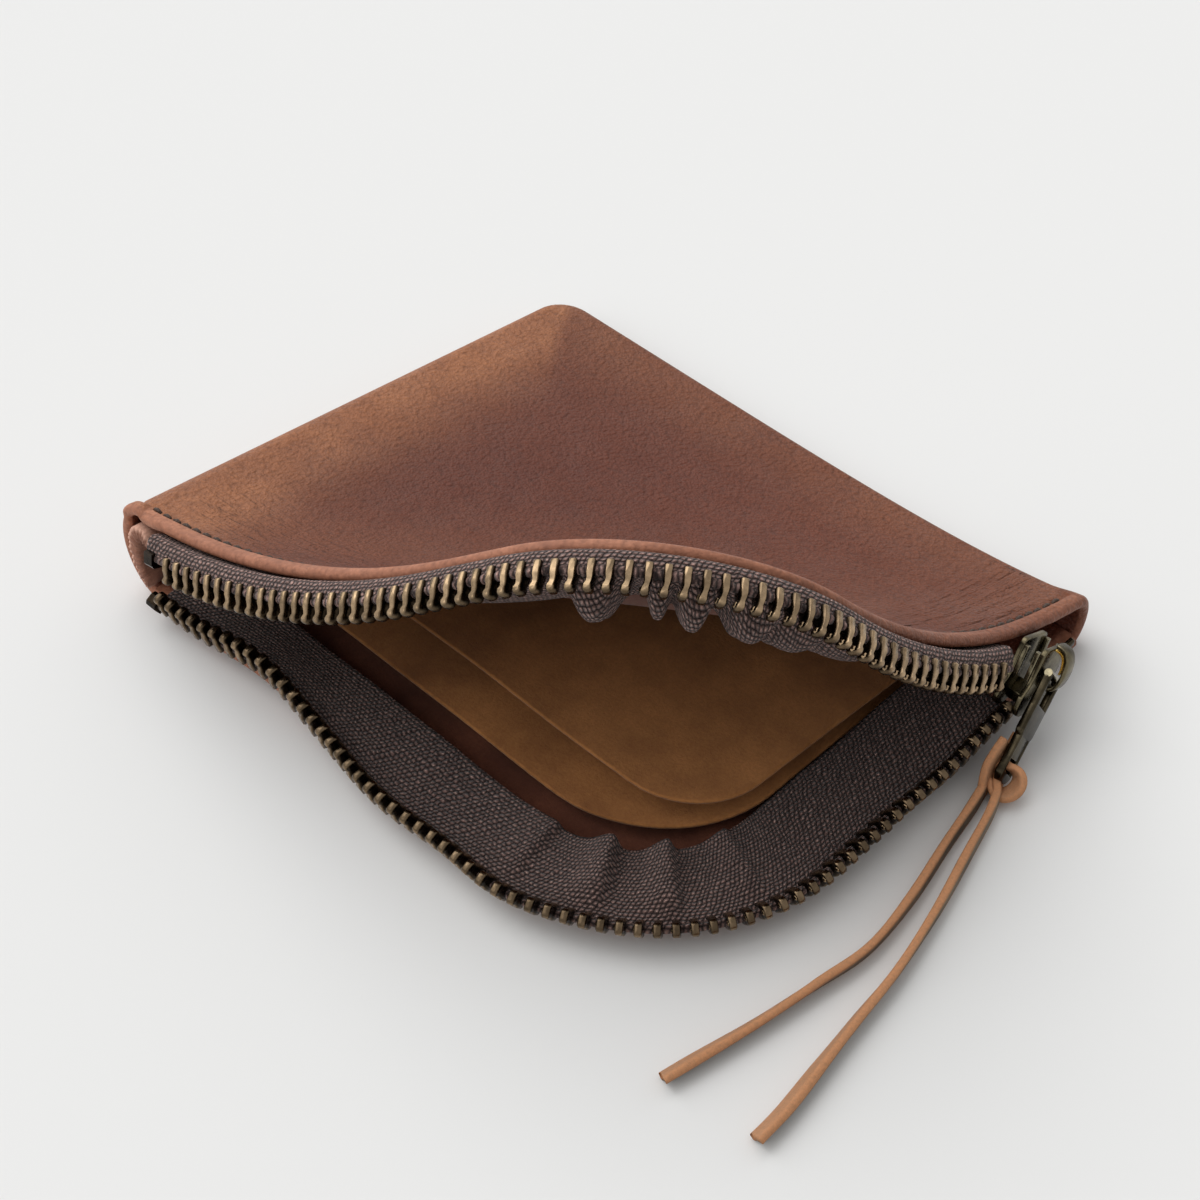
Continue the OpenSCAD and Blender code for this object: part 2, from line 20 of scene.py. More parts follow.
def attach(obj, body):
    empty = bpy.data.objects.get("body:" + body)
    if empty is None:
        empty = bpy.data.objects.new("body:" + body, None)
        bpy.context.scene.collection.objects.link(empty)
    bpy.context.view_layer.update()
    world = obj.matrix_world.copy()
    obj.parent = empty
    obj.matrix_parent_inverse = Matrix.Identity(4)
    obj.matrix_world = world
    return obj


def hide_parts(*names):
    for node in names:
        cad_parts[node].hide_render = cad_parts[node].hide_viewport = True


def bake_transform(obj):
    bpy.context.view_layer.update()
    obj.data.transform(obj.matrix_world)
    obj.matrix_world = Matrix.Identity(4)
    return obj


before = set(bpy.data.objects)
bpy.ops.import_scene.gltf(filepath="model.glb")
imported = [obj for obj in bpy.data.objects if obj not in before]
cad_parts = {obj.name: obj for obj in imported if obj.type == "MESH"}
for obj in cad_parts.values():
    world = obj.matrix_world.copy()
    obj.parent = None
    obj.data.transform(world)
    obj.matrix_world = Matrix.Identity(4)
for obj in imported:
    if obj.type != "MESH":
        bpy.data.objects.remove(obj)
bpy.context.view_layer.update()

Array = np.ndarray
Socket = bpy.types.NodeSocket
Material = bpy.types.Material
Piece = bpy.types.Object

MM = 0.001
CORNER = np.array([56.0, 47.0, 0.0])
UP = np.array([0.0, 0.0, 1.0])
NUDGE = 0.05  # Millimetres over which a direction is measured
LIP_STEPS = 8  # Steps round a rolled lip
# The lip's lighter tone is partly the rolled edge's own paler colour and partly painted light.
LIP_EDGE = (1.8, 3.2)  # Millimetres from the edge over which the lip's light tone ends
HALVINGS = 50  # Steps of a search by halving
SEW_IN = 3.0  # Millimetres from the leather's edge to its seam
RUB_SHARPNESS = (0.12, 0.4)  # Sharpness of a metal edge at which rubbing starts and is full
METAL_CREASE = math.radians(35.0)  # Angle over which a metal edge is shaded sharp
QUARTER = math.radians(90.0)
LOG = logging.getLogger("pouch")


def metres(points: Array) -> Array:
    """Points in metres from the middle of the base, given in millimetres from the folded corner."""
    return (np.asarray(points, float) - CORNER) * MM


def linear(red: int, green: int, blue: int) -> tuple[float, float, float, float]:
    """Colour of a shader socket from display values.

    Args:
        red: Red from 0 to 255.
        green: Green from 0 to 255.
        blue: Blue from 0 to 255.

    Returns:
        The linear colour with full opacity.
    """
    def one(value: float) -> float:
        """Linear value of one display channel."""
        part = value / 255.0
        return part / 12.92 if part <= 0.04045 else ((part + 0.055) / 1.055) ** 2.4
    return one(red), one(green), one(blue), 1.0


def unit(v: Array) -> Array:
    """Vectors scaled to length one along the last axis."""
    return v / np.maximum(np.linalg.norm(v, axis=-1, keepdims=True), 1e-12)


def smooth(x: Array, low: float, high: float) -> Array:
    """Soft step from 0 at low to 1 at high."""
    t = np.clip((np.asarray(x, float) - low) / (high - low), 0.0, 1.0)
    return t * t * (3.0 - 2.0 * t)


def fall(x: Array, low: float, high: float) -> Array:
    """Soft step from 1 at low to 0 at high."""
    return 1.0 - smooth(x, low, high)


def bell(x: Array, middle: float, wide: object) -> Array:
    """Bell of height 1 round a middle."""
    return np.exp(-((x - middle) / wide) ** 2)


def plateau(x: Array, low: float, full: float, full_end: float, end: float) -> Array:
    """Soft rise from low to full and soft fall from the end of the full stretch to the end."""
    return smooth(x, low, full) * fall(x, full_end, end)


def corner_gap(a: Array, b: Array, r: float) -> Array:
    """Distance inside two edges that meet in a round corner, from the distance inside each."""
    turned = r - np.hypot(np.maximum(r - a, 0.0), np.maximum(r - b, 0.0))
    return np.where((a < r) & (b < r), turned, np.minimum(a, b))


def raised(plan: Array, height: Array) -> Array:
    """Points of a plan at their heights."""
    return np.concatenate([plan, height[..., None]], -1)


def graded(steps: int, first: float) -> Array:
    """Numbers from 0 to 1 that lie closer together at the start."""
    x = np.linspace(0.0, 1.0, steps + 1)
    return first * x + (1.0 - first) * x ** 2


def strip(along: Array, across: Array) -> Array:
    """Coordinates along and across a strip, as a vector for each point of its grid."""
    a, b = np.broadcast_arrays(along[:, None], across)
    return np.stack([a, b, np.zeros_like(b)], -1)


def halve(low: Array, high: Array, upper: Callable[[Array], Array]) -> tuple[Array, Array]:
    """Ranges halved again and again round the place where a test turns true.

    Args:
        low: Lower ends, where the test is false.
        high: Upper ends, where it is true.
        upper: The test.

    Returns:
        The narrow ranges' lower and upper ends.
    """
    for _ in range(HALVINGS):
        middle = (low + high) / 2
        hit = upper(middle)
        low, high = np.where(hit, low, middle), np.where(hit, middle, high)
    return low, high


def row_axes(line: Callable[[Array], Array], s: Array, lean: Array) -> tuple[Array, Array]:
    """Places and directions of copies along a line.

    Args:
        line: Points of the line at distances along it.
        s: Distances of the copies.
        lean: Rough first direction of each copy.

    Returns:
        Points in metres, and directions as columns.
    """
    y = unit(line(s + NUDGE) - line(s - NUDGE))
    x = unit(lean - np.sum(lean * y, -1, keepdims=True) * y)
    return metres(line(s)), np.stack([x, y, np.cross(x, y)], -1)


def shown(name: str, data: bpy.types.ID) -> Piece:
    """New object of the scene.

    Args:
        name: Name of the object.
        data: Its mesh, camera or light.

    Returns:
        The object, at the origin.
    """
    made = bpy.data.objects.new(name, data)
    bpy.context.scene.collection.objects.link(made)
    return made


class Body(Enum):
    """Moving bodies of the pouch."""

    POUCH = "pouch"
    FLAP = "flap"
    SLIDER = "slider"
    PULL = "pull"


class Slot(Enum):
    """Material slots of the record."""

    LEATHER = "leather"
    SUEDE = "suede"
    TAPE = "tape"
    TEETH = "teeth"
    SLIDER = "slider"
    SPRING = "spring"
    LACE = "lace"


class Shader:
    """Node tree of one finish or of the room, with short calls for the nodes that it uses."""

    def __init__(self, owner: bpy.types.ID, surface: str = "Principled BSDF", place: str = "Object") -> None:
        """Start with an empty surface.

        Args:
            owner: Material or world that holds the tree.
            surface: Name of its surface node.
            place: Kind of coordinates.
        """
        self.owner = owner
        owner.use_nodes = True
        self.tree = owner.node_tree
        self.surface = self.tree.nodes[surface]
        self.place = self.node("ShaderNodeTexCoord").outputs[place]

    def node(self, kind: str, given: Optional[dict] = None, **settings: object) -> bpy.types.Node:
        """Add a node.

        Args:
            kind: Blender's name of the node type.
            given: Value or socket of each input, by the input's name or number.
            settings: Properties to set on it.

        Returns:
            The new node.
        """
        made = self.tree.nodes.new(kind)
        for key, value in settings.items():
            setattr(made, key, value)
        for key, value in (given or {}).items():
            self.feed(made.inputs[key], value)
        return made

    def feed(self, target: Socket, value: object) -> None:
        """Link a socket to the target, or set the target's own value.

        Args:
            target: Input of a node.
            value: The socket or the value.
        """
        if isinstance(value, Socket):
            self.tree.links.new(value, target)
        else:
            target.default_value = value

    def set(self, **values: object) -> None:
        """Set or link inputs of the surface; an underscore stands for a space."""
        for key, value in values.items():
            self.feed(self.surface.inputs[key.replace("_", " ")], value)

    def math(self, operation: str, a: object, b: object = 0.0) -> Socket:
        """Result of a math node on two numbers or sockets."""
        return self.node("ShaderNodeMath", {0: a, 1: b}, operation=operation).outputs[0]

    def times(self, a: object, b: object) -> Socket:
        """Product of two numbers or sockets."""
        return self.math("MULTIPLY", a, b)

    def noise(self, scale: float, detail: float, rough: float = 0.55,
              vector: Optional[Socket] = None) -> Socket:
        """Noise of so many cells per unit of the vector, or of the object's own place."""
        given = {"Vector": vector or self.place, "Scale": scale, "Detail": detail, "Roughness": rough}
        return self.node("ShaderNodeTexNoise", given).outputs[0]

    def cells(self, scale: float, feature: str) -> Socket:
        """Distance value of a texture of so many cells per metre."""
        given = {"Vector": self.place, "Scale": scale}
        return self.node("ShaderNodeTexVoronoi", given, feature=feature).outputs["Distance"]

    def stretched(self, source: Socket, scale: Sequence[float]) -> Socket:
        """Coordinates scaled along each axis."""
        return self.node("ShaderNodeMapping", {"Vector": source, "Scale": scale}).outputs[0]

    def level(self, value: Socket, low: float, high: float, out_low: float = 0.0,
              out_high: float = 1.0) -> Socket:
        """Value mapped from one range to another and kept inside it."""
        given = dict(enumerate((value, low, high, out_low, out_high)))
        return self.node("ShaderNodeMapRange", given, clamp=True).outputs[0]

    def mix(self, part: object, a: object, b: object) -> Socket:
        """Mix of two colours, each given in display values or as a socket."""
        a, b = (linear(*colour) if isinstance(colour, tuple) else colour for colour in (a, b))
        return self.node("ShaderNodeMix", {0: part, 6: a, 7: b}, data_type="RGBA").outputs[2]

    def value_of(self, name: str, output: str = "Fac") -> Socket:
        """Named value of the mesh."""
        return self.node("ShaderNodeAttribute", attribute_name=name).outputs[output]

    def bump(self, height: Socket, depth_mm: float, under: Optional[Socket] = None) -> Socket:
        """Normal bent by a height.

        Args:
            height: Height from 0 to 1.
            depth_mm: Depth of the full height in millimetres.
            under: Normal of a coarser layer.

        Returns:
            The normal's socket.
        """
        given = {"Strength": 1.0, "Distance": depth_mm * MM, "Height": height}
        if under is not None:
            given["Normal"] = under
        return self.node("ShaderNodeBump", given).outputs[0]


class Finish(ABC):
    """Look of one material."""

    name: str

    @abstractmethod
    def paint(self, sh: Shader) -> None:
        """Set the look in a shader."""

    def make(self) -> Material:
        """Make a material with this look.

        Returns:
            The new material.
        """
        sh = Shader(bpy.data.materials.new(self.name))
        self.paint(sh)
        return sh.owner


@dataclass(frozen=True)
class LeatherFinish(Finish):
    """Waxed pull-up leather: pebble grain, creases, lighter where it bends, and a lighter lip that is partly
    the rolled edge's own paler tone and partly painted light.
    """

    name: str = "leather_grain"
    deep: tuple = (88, 42, 29)
    mid: tuple = (108, 57, 39)
    worn: tuple = (170, 112, 76)
    # Lip colour: partly the rolled edge's own paler tone, partly painted light.
    lip: tuple = (180, 122, 95)
    pore: tuple = (48, 23, 17)
    grain_mm: float = 0.7

    def paint(self, sh: Shader) -> None:
        """Set the look of the grain side.

        Args:
            sh: Shader of the new material.
        """
        clouds = sh.level(sh.noise(26.0, 4.0, 0.6), 0.25, 0.75)
        streaks = sh.level(sh.noise(210.0, 3.0, 0.6), 0.35, 0.7)
        base = sh.mix(clouds, self.deep, self.mid)
        base = sh.mix(sh.times(streaks, 0.35), base, self.mid)
        wear = sh.times(sh.value_of("wear"), sh.level(sh.noise(70.0, 4.0, 0.65), 0.25, 0.75, 0.45, 1.0))
        base = sh.mix(wear, base, self.worn)
        # Lip tint: partly the rolled edge's paler tone, partly painted light, with painted shade towards the
        # slider.
        lip = sh.times(sh.value_of("lip"), sh.level(sh.noise(160.0, 3.0, 0.6), 0.3, 0.7, 0.6, 1.0))
        base = sh.mix(lip, base, self.lip)
        pebble = sh.cells(1.0 / (self.grain_mm * MM), "SMOOTH_F1")
        fine = sh.cells(1.9 / (self.grain_mm * MM), "F1")
        pores = sh.level(pebble, 0.15, 0.75)
        base = sh.mix(sh.times(pores, 0.3), base, self.pore)
        specks = sh.level(sh.noise(1300.0, 3.0, 0.65), 0.5, 0.75)
        base = sh.mix(sh.times(specks, 0.34), base, self.pore)
        lay = sh.value_of("lay", "Vector")
        folds = sh.noise(1.0, 2.0, 0.55, sh.stretched(lay, (0.07, 0.62, 1.0)))
        ridges = sh.noise(1.0, 2.0, 0.5, sh.stretched(lay, (0.2, 1.35, 1.0)))
        crease = sh.value_of("crease")
        height = sh.times(sh.level(folds, 0.3, 0.7), crease)
        thin = sh.times(sh.level(ridges, 0.3, 0.7), crease)
        normal = sh.bump(height, 0.52)
        normal = sh.bump(thin, 0.2, normal)
        grain = sh.math("ADD", sh.times(pebble, 0.7), sh.times(fine, 0.3))
        plain = sh.math("SUBTRACT", 1.0, sh.times(sh.value_of("lip"), 0.75))
        normal = sh.bump(sh.times(sh.math("SUBTRACT", 1.0, grain), plain), 0.44, normal)
        sh.set(Base_Color=base, Normal=normal,
               Roughness=sh.level(sh.noise(120.0, 3.0), 0.3, 0.7, 0.46, 0.62),
               Specular_IOR_Level=0.24)


@dataclass(frozen=True)
class RawFinish(Finish):
    """Rough side of leather: short fibres, uneven colour and a painted highlight along marked cut edges."""

    name: str
    dark: tuple
    light: tuple
    fibre_mm: float = 0.5
    # Painted highlight colour for the rounded edge of a cut.
    rim_highlight: tuple = (226, 178, 156)

    def paint(self, sh: Shader) -> None:
        """Set the look of the rough side.

        Args:
            sh: Shader of the new material.
        """
        clouds = sh.level(sh.noise(60.0, 5.0, 0.65), 0.3, 0.7)
        fibre = sh.noise(1.0 / (self.fibre_mm * MM), 4.0, 0.7)
        base = sh.mix(clouds, self.dark, self.light)
        base = sh.mix(sh.level(fibre, 0.35, 0.65, 0.0, 0.4), base, self.dark)
        # Painted highlight where the mesh marks a cut's rounded edge.
        base = sh.mix(sh.value_of("cut"), base, self.rim_highlight)
        sh.set(Base_Color=base, Roughness=0.92, Specular_IOR_Level=0.2, Sheen_Weight=0.12,
               Normal=sh.bump(fibre, 0.16))


@dataclass(frozen=True)
class TapeFinish(Finish):
    """Woven zip tape: rows of short plump yarns, each row half a yarn out of step."""

    name: str = "tape_weave"
    gap: tuple = (26, 17, 16)
    yarn: tuple = (142, 111, 104)
    tip: tuple = (216, 182, 170)
    # Paler yarn colour: painted light where the lower tape turns the corner; the whole upper tape is this
    # paler colour.
    worn: tuple = (186, 148, 138)
    rib_mm: float = 0.56
    yarn_mm: float = 0.86

    def paint(self, sh: Shader) -> None:
        """Set the look of the tape.

        Args:
            sh: Shader of the new material.
        """
        split = sh.node("ShaderNodeSeparateXYZ", {0: sh.value_of("lay", "Vector")})
        loose = sh.level(sh.noise(700.0, 2.0, 0.5), 0.3, 0.7, -0.25, 0.25)
        rib = sh.math("ADD", sh.times(split.outputs[1], 1.0 / self.rib_mm), loose)
        row = sh.math("FLOOR", rib)
        step = sh.math("ADD", sh.times(row, 0.5), sh.times(sh.math("FRACT", rib), 0.3))
        run = sh.math("ADD", sh.times(split.outputs[0], 1.0 / self.yarn_mm), step)
        run = sh.math("ADD", run, sh.level(sh.noise(430.0, 2.0, 0.5), 0.3, 0.7, -0.3, 0.3))
        yarn = sh.level(sh.math("PINGPONG", run, 0.5), 0.0, 0.36)
        edge = sh.level(sh.math("PINGPONG", rib, 0.5), 0.0, 0.42)
        weave = sh.times(yarn, edge)
        cell = sh.node("ShaderNodeCombineXYZ", {0: sh.math("FLOOR", run), 1: row})
        tone = sh.node("ShaderNodeTexWhiteNoise", {"Vector": cell.outputs[0]}, noise_dimensions="3D")
        fuzz = sh.noise(2600.0, 3.0, 0.65)
        # Paler yarn where the mesh asks for it: painted light on the lower tape's corner.
        tint = sh.mix(sh.value_of("worn"), self.yarn, self.worn)
        base = sh.mix(weave, self.gap, tint)
        base = sh.mix(sh.level(tone.outputs["Value"], 0.0, 1.0, 0.0, 0.45), base, self.gap)
        base = sh.mix(sh.times(sh.level(fuzz, 0.5, 0.75), weave), base, self.tip)
        height = sh.math("ADD", weave, sh.times(fuzz, 0.25))
        sh.set(Base_Color=base, Roughness=0.85, Specular_IOR_Level=0.2, Sheen_Weight=0.15,
               Normal=sh.bump(height, 0.5))


@dataclass(frozen=True)
class MetalFinish(Finish):
    """Antique brass: dark hollows, rubbed bright edges, fine scratches."""

    name: str
    dark: tuple
    body: tuple
    bright: tuple
    rough: float = 0.3
    scale_mm: float = 2.0

    def paint(self, sh: Shader) -> None:
        """Set the look of the metal.

        Args:
            sh: Shader of the new material.
        """
        patches = sh.level(sh.noise(1.0 / (self.scale_mm * MM), 4.0, 0.65), 0.32, 0.68)
        rubbed = sh.value_of("rub")
        base = sh.mix(patches, self.dark, self.body)
        share = sh.times(rubbed, sh.level(sh.noise(900.0, 3.0), 0.3, 0.7, 0.5, 1.0))
        base = sh.mix(share, base, self.bright)
        base = sh.mix(sh.times(sh.value_of("patina"), 0.42), base, self.dark)
        scratch = sh.noise(1.0, 3.0, 0.6, sh.stretched(sh.place, (900.0, 2600.0, 2600.0)))
        sh.set(Base_Color=base, Metallic=1.0,
               Roughness=sh.level(patches, 0.0, 1.0, self.rough + 0.12, self.rough),
               Normal=sh.bump(scratch, 0.02))


@dataclass(frozen=True)
class ThreadFinish(Finish):
    """Waxed sewing thread with a twist."""

    name: str = "thread_twist"
    dark: tuple = (38, 27, 22)
    light: tuple = (84, 64, 52)

    def paint(self, sh: Shader) -> None:
        """Set the look of the thread.

        Args:
            sh: Shader of the new material.
        """
        twist = sh.noise(4200.0, 2.0, 0.6)
        base = sh.mix(sh.level(twist, 0.35, 0.65), self.dark, self.light)
        sh.set(Base_Color=base, Roughness=0.6, Specular_IOR_Level=0.35, Normal=sh.bump(twist, 0.08))


@dataclass(frozen=True)
class LaceFinish(Finish):
    """Flat cut lace: dark rubbed faces and pale raw edges."""

    name: str = "lace_hide"
    face: tuple = (124, 110, 92)
    stain: tuple = (84, 76, 64)
    edge: tuple = (200, 142, 100)

    def paint(self, sh: Shader) -> None:
        """Set the look of the lace.

        Args:
            sh: Shader of the new material.
        """
        clouds = sh.level(sh.noise(150.0, 4.0, 0.65), 0.3, 0.7)
        fibre = sh.noise(1900.0, 4.0, 0.7)
        base = sh.mix(clouds, self.stain, self.face)
        cut = sh.times(sh.value_of("cut"), sh.level(fibre, 0.2, 0.6, 0.6, 1.0))
        base = sh.mix(cut, base, self.edge)
        sh.set(Base_Color=base, Roughness=0.72, Specular_IOR_Level=0.3, Normal=sh.bump(fibre, 0.12))


@dataclass(frozen=True)
class FloorFinish(Finish):
    """Plain pale table."""

    name: str = "pale_table"
    colour: tuple = (228, 228, 227)

    def paint(self, sh: Shader) -> None:
        """Set the look of the table."""
        sh.set(Base_Color=linear(*self.colour), Roughness=0.9, Specular_IOR_Level=0.1)


def made_by(finish: Finish) -> Material:
    """Field that holds the material of a finish."""
    return field(default_factory=finish.make)


@dataclass
class Finishes:
    """All finishes of the pouch, made once."""

    leather: Material = made_by(LeatherFinish())
    flesh: Material = made_by(RawFinish("leather_rough", (74, 40, 28), (122, 72, 52)))
    cut: Material = made_by(RawFinish("leather_cut", (126, 82, 66), (196, 144, 120), 0.35))
    suede: Material = made_by(RawFinish("divider_suede", (128, 82, 44), (190, 130, 76)))
    tape: Material = made_by(TapeFinish())
    teeth: Material = made_by(MetalFinish(
        "tooth_brass", (20, 16, 11), (54, 44, 34), (190, 162, 128), 0.2, 1.2))
    slider: Material = made_by(MetalFinish(
        "slider_brass", (62, 56, 43), (114, 105, 82), (200, 190, 160), 0.2, 3.0))
    pull: Material = made_by(MetalFinish(
        "pull_bronze", (34, 30, 23), (72, 64, 49), (186, 174, 142), 0.13, 3.0))
    spring: Material = made_by(MetalFinish(
        "spring_brass", (150, 104, 34), (224, 172, 70), (250, 214, 120), 0.22, 1.5))
    thread: Material = made_by(ThreadFinish())
    lace: Material = made_by(LaceFinish())


class Surface:
    """Mesh under construction: points, faces, finish of each face and named values."""

    def __init__(self) -> None:
        """Start an empty mesh."""
        self.points: list[Array] = []
        self.faces: list[tuple[int, ...]] = []
        self.finish: list[int] = []
        self.count = 0
        self.values: dict[str, list[Array]] = {}

    def add(self, points: Array, **values: object) -> Array:
        """Add points with their named values.

        Args:
            points: Points in millimetres, in any grid shape with three numbers each.
            values: One number or array for each point, or a vector of three.

        Returns:
            The points' numbers in the same grid shape.
        """
        flat = np.asarray(points, float).reshape(-1, 3)
        ids = np.arange(self.count, self.count + len(flat))
        for name in {**self.values, **values}:
            given = np.asarray(values.get(name, 0.0), float)
            wide = 3 if name == "lay" else 1
            rows = self.values.setdefault(name, [np.zeros((self.count, wide))])
            if given.ndim == 0:
                rows.append(np.full((len(flat), wide), given))
            else:
                rows.append(given.reshape(-1, wide))
        self.points.append(flat)
        self.count += len(flat)
        return ids.reshape(np.asarray(points).shape[:-1])

    def quads(self, grid: Array, flip: bool = False, finish: object = 0) -> None:
        """Faces between neighbouring rows and columns of a grid of point numbers.

        Args:
            grid: Point numbers, rows by columns.
            flip: Whether the faces turn the other way.
            finish: Finish number of all faces, or an array of one for each face.
        """
        a, b, c, d = grid[:-1, :-1], grid[1:, :-1], grid[1:, 1:], grid[:-1, 1:]
        loops = np.stack([a, b, c, d] if not flip else [a, d, c, b], -1).reshape(-1, 4)
        kinds = np.broadcast_to(finish, a.shape).reshape(-1)
        for loop, kind in zip(loops.tolist(), kinds.tolist()):
            self.face(loop, kind)

    def face(self, loop: Sequence[int], finish: int = 0) -> None:
        """One face, with repeated points left out.

        Args:
            loop: Point numbers in order.
            finish: Finish number.
        """
        kept = [p for i, p in enumerate(loop) if p != loop[i - 1]]
        if len(kept) > 2 and len(set(kept)) == len(kept):
            self.faces.append(tuple(int(p) for p in kept))
            self.finish.append(int(finish))

    def ring_loft(self, rings: Array, flip: bool = False, **values: object) -> None:
        """Tube over rings of points, closed at both ends.

        Args:
            rings: Points in millimetres, rings by points of a ring.
            flip: Whether the faces turn the other way.
            values: Named values of the points.
        """
        ids = self.add(rings, **values)
        self.quads(np.concatenate([ids, ids[:, :1]], axis=1), flip)
        first, last = ids[0].tolist(), ids[-1].tolist()
        self.face(first if not flip else first[::-1])
        self.face(last[::-1] if not flip else last)

    def normals(self) -> Array:
        """Normals of the points from the faces made so far.

        Returns:
            One normal for each point.
        """
        pts = np.concatenate(self.points)
        total = np.zeros_like(pts)
        for size in (3, 4):
            loops = np.array([f for f in self.faces if len(f) == size])
            if len(loops) == 0:
                continue
            q = pts[loops]
            across = np.cross(q[:, 2] - q[:, 0], q[:, -1] - q[:, 1])
            for i in range(size):
                np.add.at(total, loops[:, i], across)
        return unit(total)

    def build(self, name: str, finishes: Sequence[Material], in_metres: bool = False) -> Piece:
        """Blender object of the mesh, shaded smooth.

        Args:
            name: Name of the object.
            finishes: Materials in the order of the finish numbers.
            in_metres: Whether the points are metres in the frame already.

        Returns:
            The new object, at the origin.
        """
        pts = np.concatenate(self.points)
        used = np.unique(np.concatenate([np.array(f) for f in self.faces]))
        number = np.full(len(pts), -1)
        number[used] = np.arange(len(used))
        mesh = bpy.data.meshes.new(name)
        placed = pts[used] if in_metres else metres(pts[used])
        mesh.from_pydata(placed.tolist(), [], [[int(number[i]) for i in f] for f in self.faces])
        facing = bmesh.new()
        facing.from_mesh(mesh)
        bmesh.ops.recalc_face_normals(facing, faces=facing.faces[:])
        facing.to_mesh(mesh)
        facing.free()
        for key, rows in self.values.items():
            data = np.concatenate(rows)[used]
            kind, part = ("FLOAT_VECTOR", "vector") if key == "lay" else ("FLOAT", "value")
            mesh.attributes.new(key, kind, "POINT").data.foreach_set(part, data.ravel())
        for finish in finishes:
            mesh.materials.append(finish)
        mesh.polygons.foreach_set("material_index", self.finish)
        mesh.polygons.foreach_set("use_smooth", [True] * len(mesh.polygons))
        mesh.update()
        return shown(name, mesh)


def dress(piece: Piece, slot: Slot, *nodes: str) -> Piece:
    """Hide the frame nodes that a piece stands for.

    Args:
        piece: The piece.
        slot: Material slot of the record; not used.
        nodes: Frame nodes that the piece replaces.

    Returns:
        The piece.
    """
    if nodes:
        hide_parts(*nodes)
    return piece


@dataclass(frozen=True)
class PouchForm:
    """Sizes of the pouch in millimetres and the surfaces that its pieces follow."""

    width: float = 112.0
    depth: float = 94.0
    corner_r: float = 32.0
    fold_h: float = 19.0
    far_h: float = 5.0
    seam_h: float = 10.0
    fold_w: float = 6.5
    fold_out: float = 3.5
    rise: float = math.radians(12.0)
    opened: float = math.radians(68.0)
    bend_l: float = 49.0
    bend_out: float = 8.8
    bend_back: float = 1.6
    bend_low: float = 1.0
    bend_fall: float = 1.4
    hinge_in: float = 9.0
    leather: float = 1.2
    hem_w: float = 9.0
    lip_r: float = 1.3
    lip_t: float = 1.9
    seam_out: float = 2.0
    hem_step: float = 0.4
    far_r: float = 4.0
    far_in: float = 0.5
    skin_curve: tuple = (1.5, 3.6)
    chain_out: float = 2.5
    chain_x0: float = 4.0
    slider_y: float = 75.0
    slider_back: float = 8.5
    out_waves: tuple = ((2.2, 57.0, 13.0), (1.1, 78.0, 9.0))
    lift_wave: tuple = (2.4, 27.0, 11.0)
    wave_fade: tuple = (1.0, 11.0)
    far_across: float = -90.0
    blend_at: float = 70.0
    blend_tilt: float = 0.8
    blend_reach: tuple = (6.0, 10.0)

    @property
    def bend_start(self) -> Array:
        """Start of the bend on the plan."""
        return np.array([-self.bend_out, 0.0])

    @property
    def bend_dir(self) -> Array:
        """Direction along the bend on the plan."""
        return unit(np.array([self.width + self.bend_out, self.depth + self.bend_back]))

    @property
    def bend_side(self) -> Array:
        """Direction across the bend on the plan, towards the mouth's corner."""
        return np.array([self.bend_dir[1], -self.bend_dir[0]])

    @property
    def bend_drop(self) -> float:
        """Fall of the bend for each millimetre of its length."""
        run = math.hypot(self.width + self.bend_out, self.depth + self.bend_back)
        return (self.fold_h - self.seam_h - self.bend_fall) / run

    @property
    def turn(self) -> float:
        """Angle by which the flap bends in all."""
        return self.opened - self.rise

    def along(self, p: Array) -> Array:
        """Distance along the bend of points of the flat plan."""
        return (p - self.bend_start) @ self.bend_dir

    def across(self, p: Array) -> Array:
        """Distance across the bend of points of the flat plan."""
        return (p - self.bend_start) @ self.bend_side

    def flat_at(self, t: Array, d: Array) -> Array:
        """Points of the flat plan from distances along and across the bend."""
        return self.bend_start + t[..., None] * self.bend_dir + d[..., None] * self.bend_side

    def thick_at(self, gap: Array, edge: float) -> Array:
        """Thickness of the leather from its turned hem, which has the edge's thickness, inwards."""
        return self.leather + (edge - self.leather) * fall(gap, self.hem_w - self.hem_step, self.hem_w)

    def bent(self, t: Array, d: Array, h: object = 0.0) -> Array:
        """Points of the bent front panel.

        Args:
            t: Distance along the bend.
            d: Distance across the bend.
            h: Height over the outside of the leather.

        Returns:
            Points in millimetres.
        """
        t, d, h = np.broadcast_arrays(*(np.asarray(v, float) for v in (t, d, h)))
        f = self.turn * np.clip(d / self.bend_l, 0.0, 1.0)
        r = self.bend_l / self.turn
        over = np.maximum(d - self.bend_l, 0.0)
        u = r * np.sin(f) + over * math.cos(self.turn) + np.minimum(d, 0.0) - h * np.sin(f)
        v = r * (1.0 - np.cos(f)) + over * math.sin(self.turn) + h * np.cos(f)
        q = u * math.cos(self.rise) - v * math.sin(self.rise)
        z = u * math.sin(self.rise) + v * math.cos(self.rise)
        height = self.fold_h - self.bend_low - self.bend_drop * t + z
        return raised(self.flat_at(t, q), height)

    def fold_top(self, y: Array) -> Array:
        """Height of the folded side."""
        return self.fold_h + (self.far_h - self.fold_h) * y / self.depth

    def fold_c(self, y: Array) -> Array:
        """Place of the folded side's crest."""
        near = self.fold_w - self.fold_out
        return near + (self.far_h / 2 - self.far_in - self.fold_w + self.fold_out) * y / self.depth

    def fold_a(self, y: Array) -> Array:
        """Half width of the folded side."""
        return self.fold_w + (self.far_h / 2 - self.fold_w) * y / self.depth

    def hinge(self, y: Array) -> tuple[Array, Array]:
        """Place and height of the flap's bending line.

        Args:
            y: Distance from the front mouth.

        Returns:
            The line's x and z.
        """
        q = (self.bent(0.0, self.hinge_in)[:2] - self.bend_start) @ self.bend_side
        t = (y + q * self.bend_dir[0]) / self.bend_dir[1]
        p = self.bent(t, self.hinge_in)
        return p[..., 0], p[..., 2]

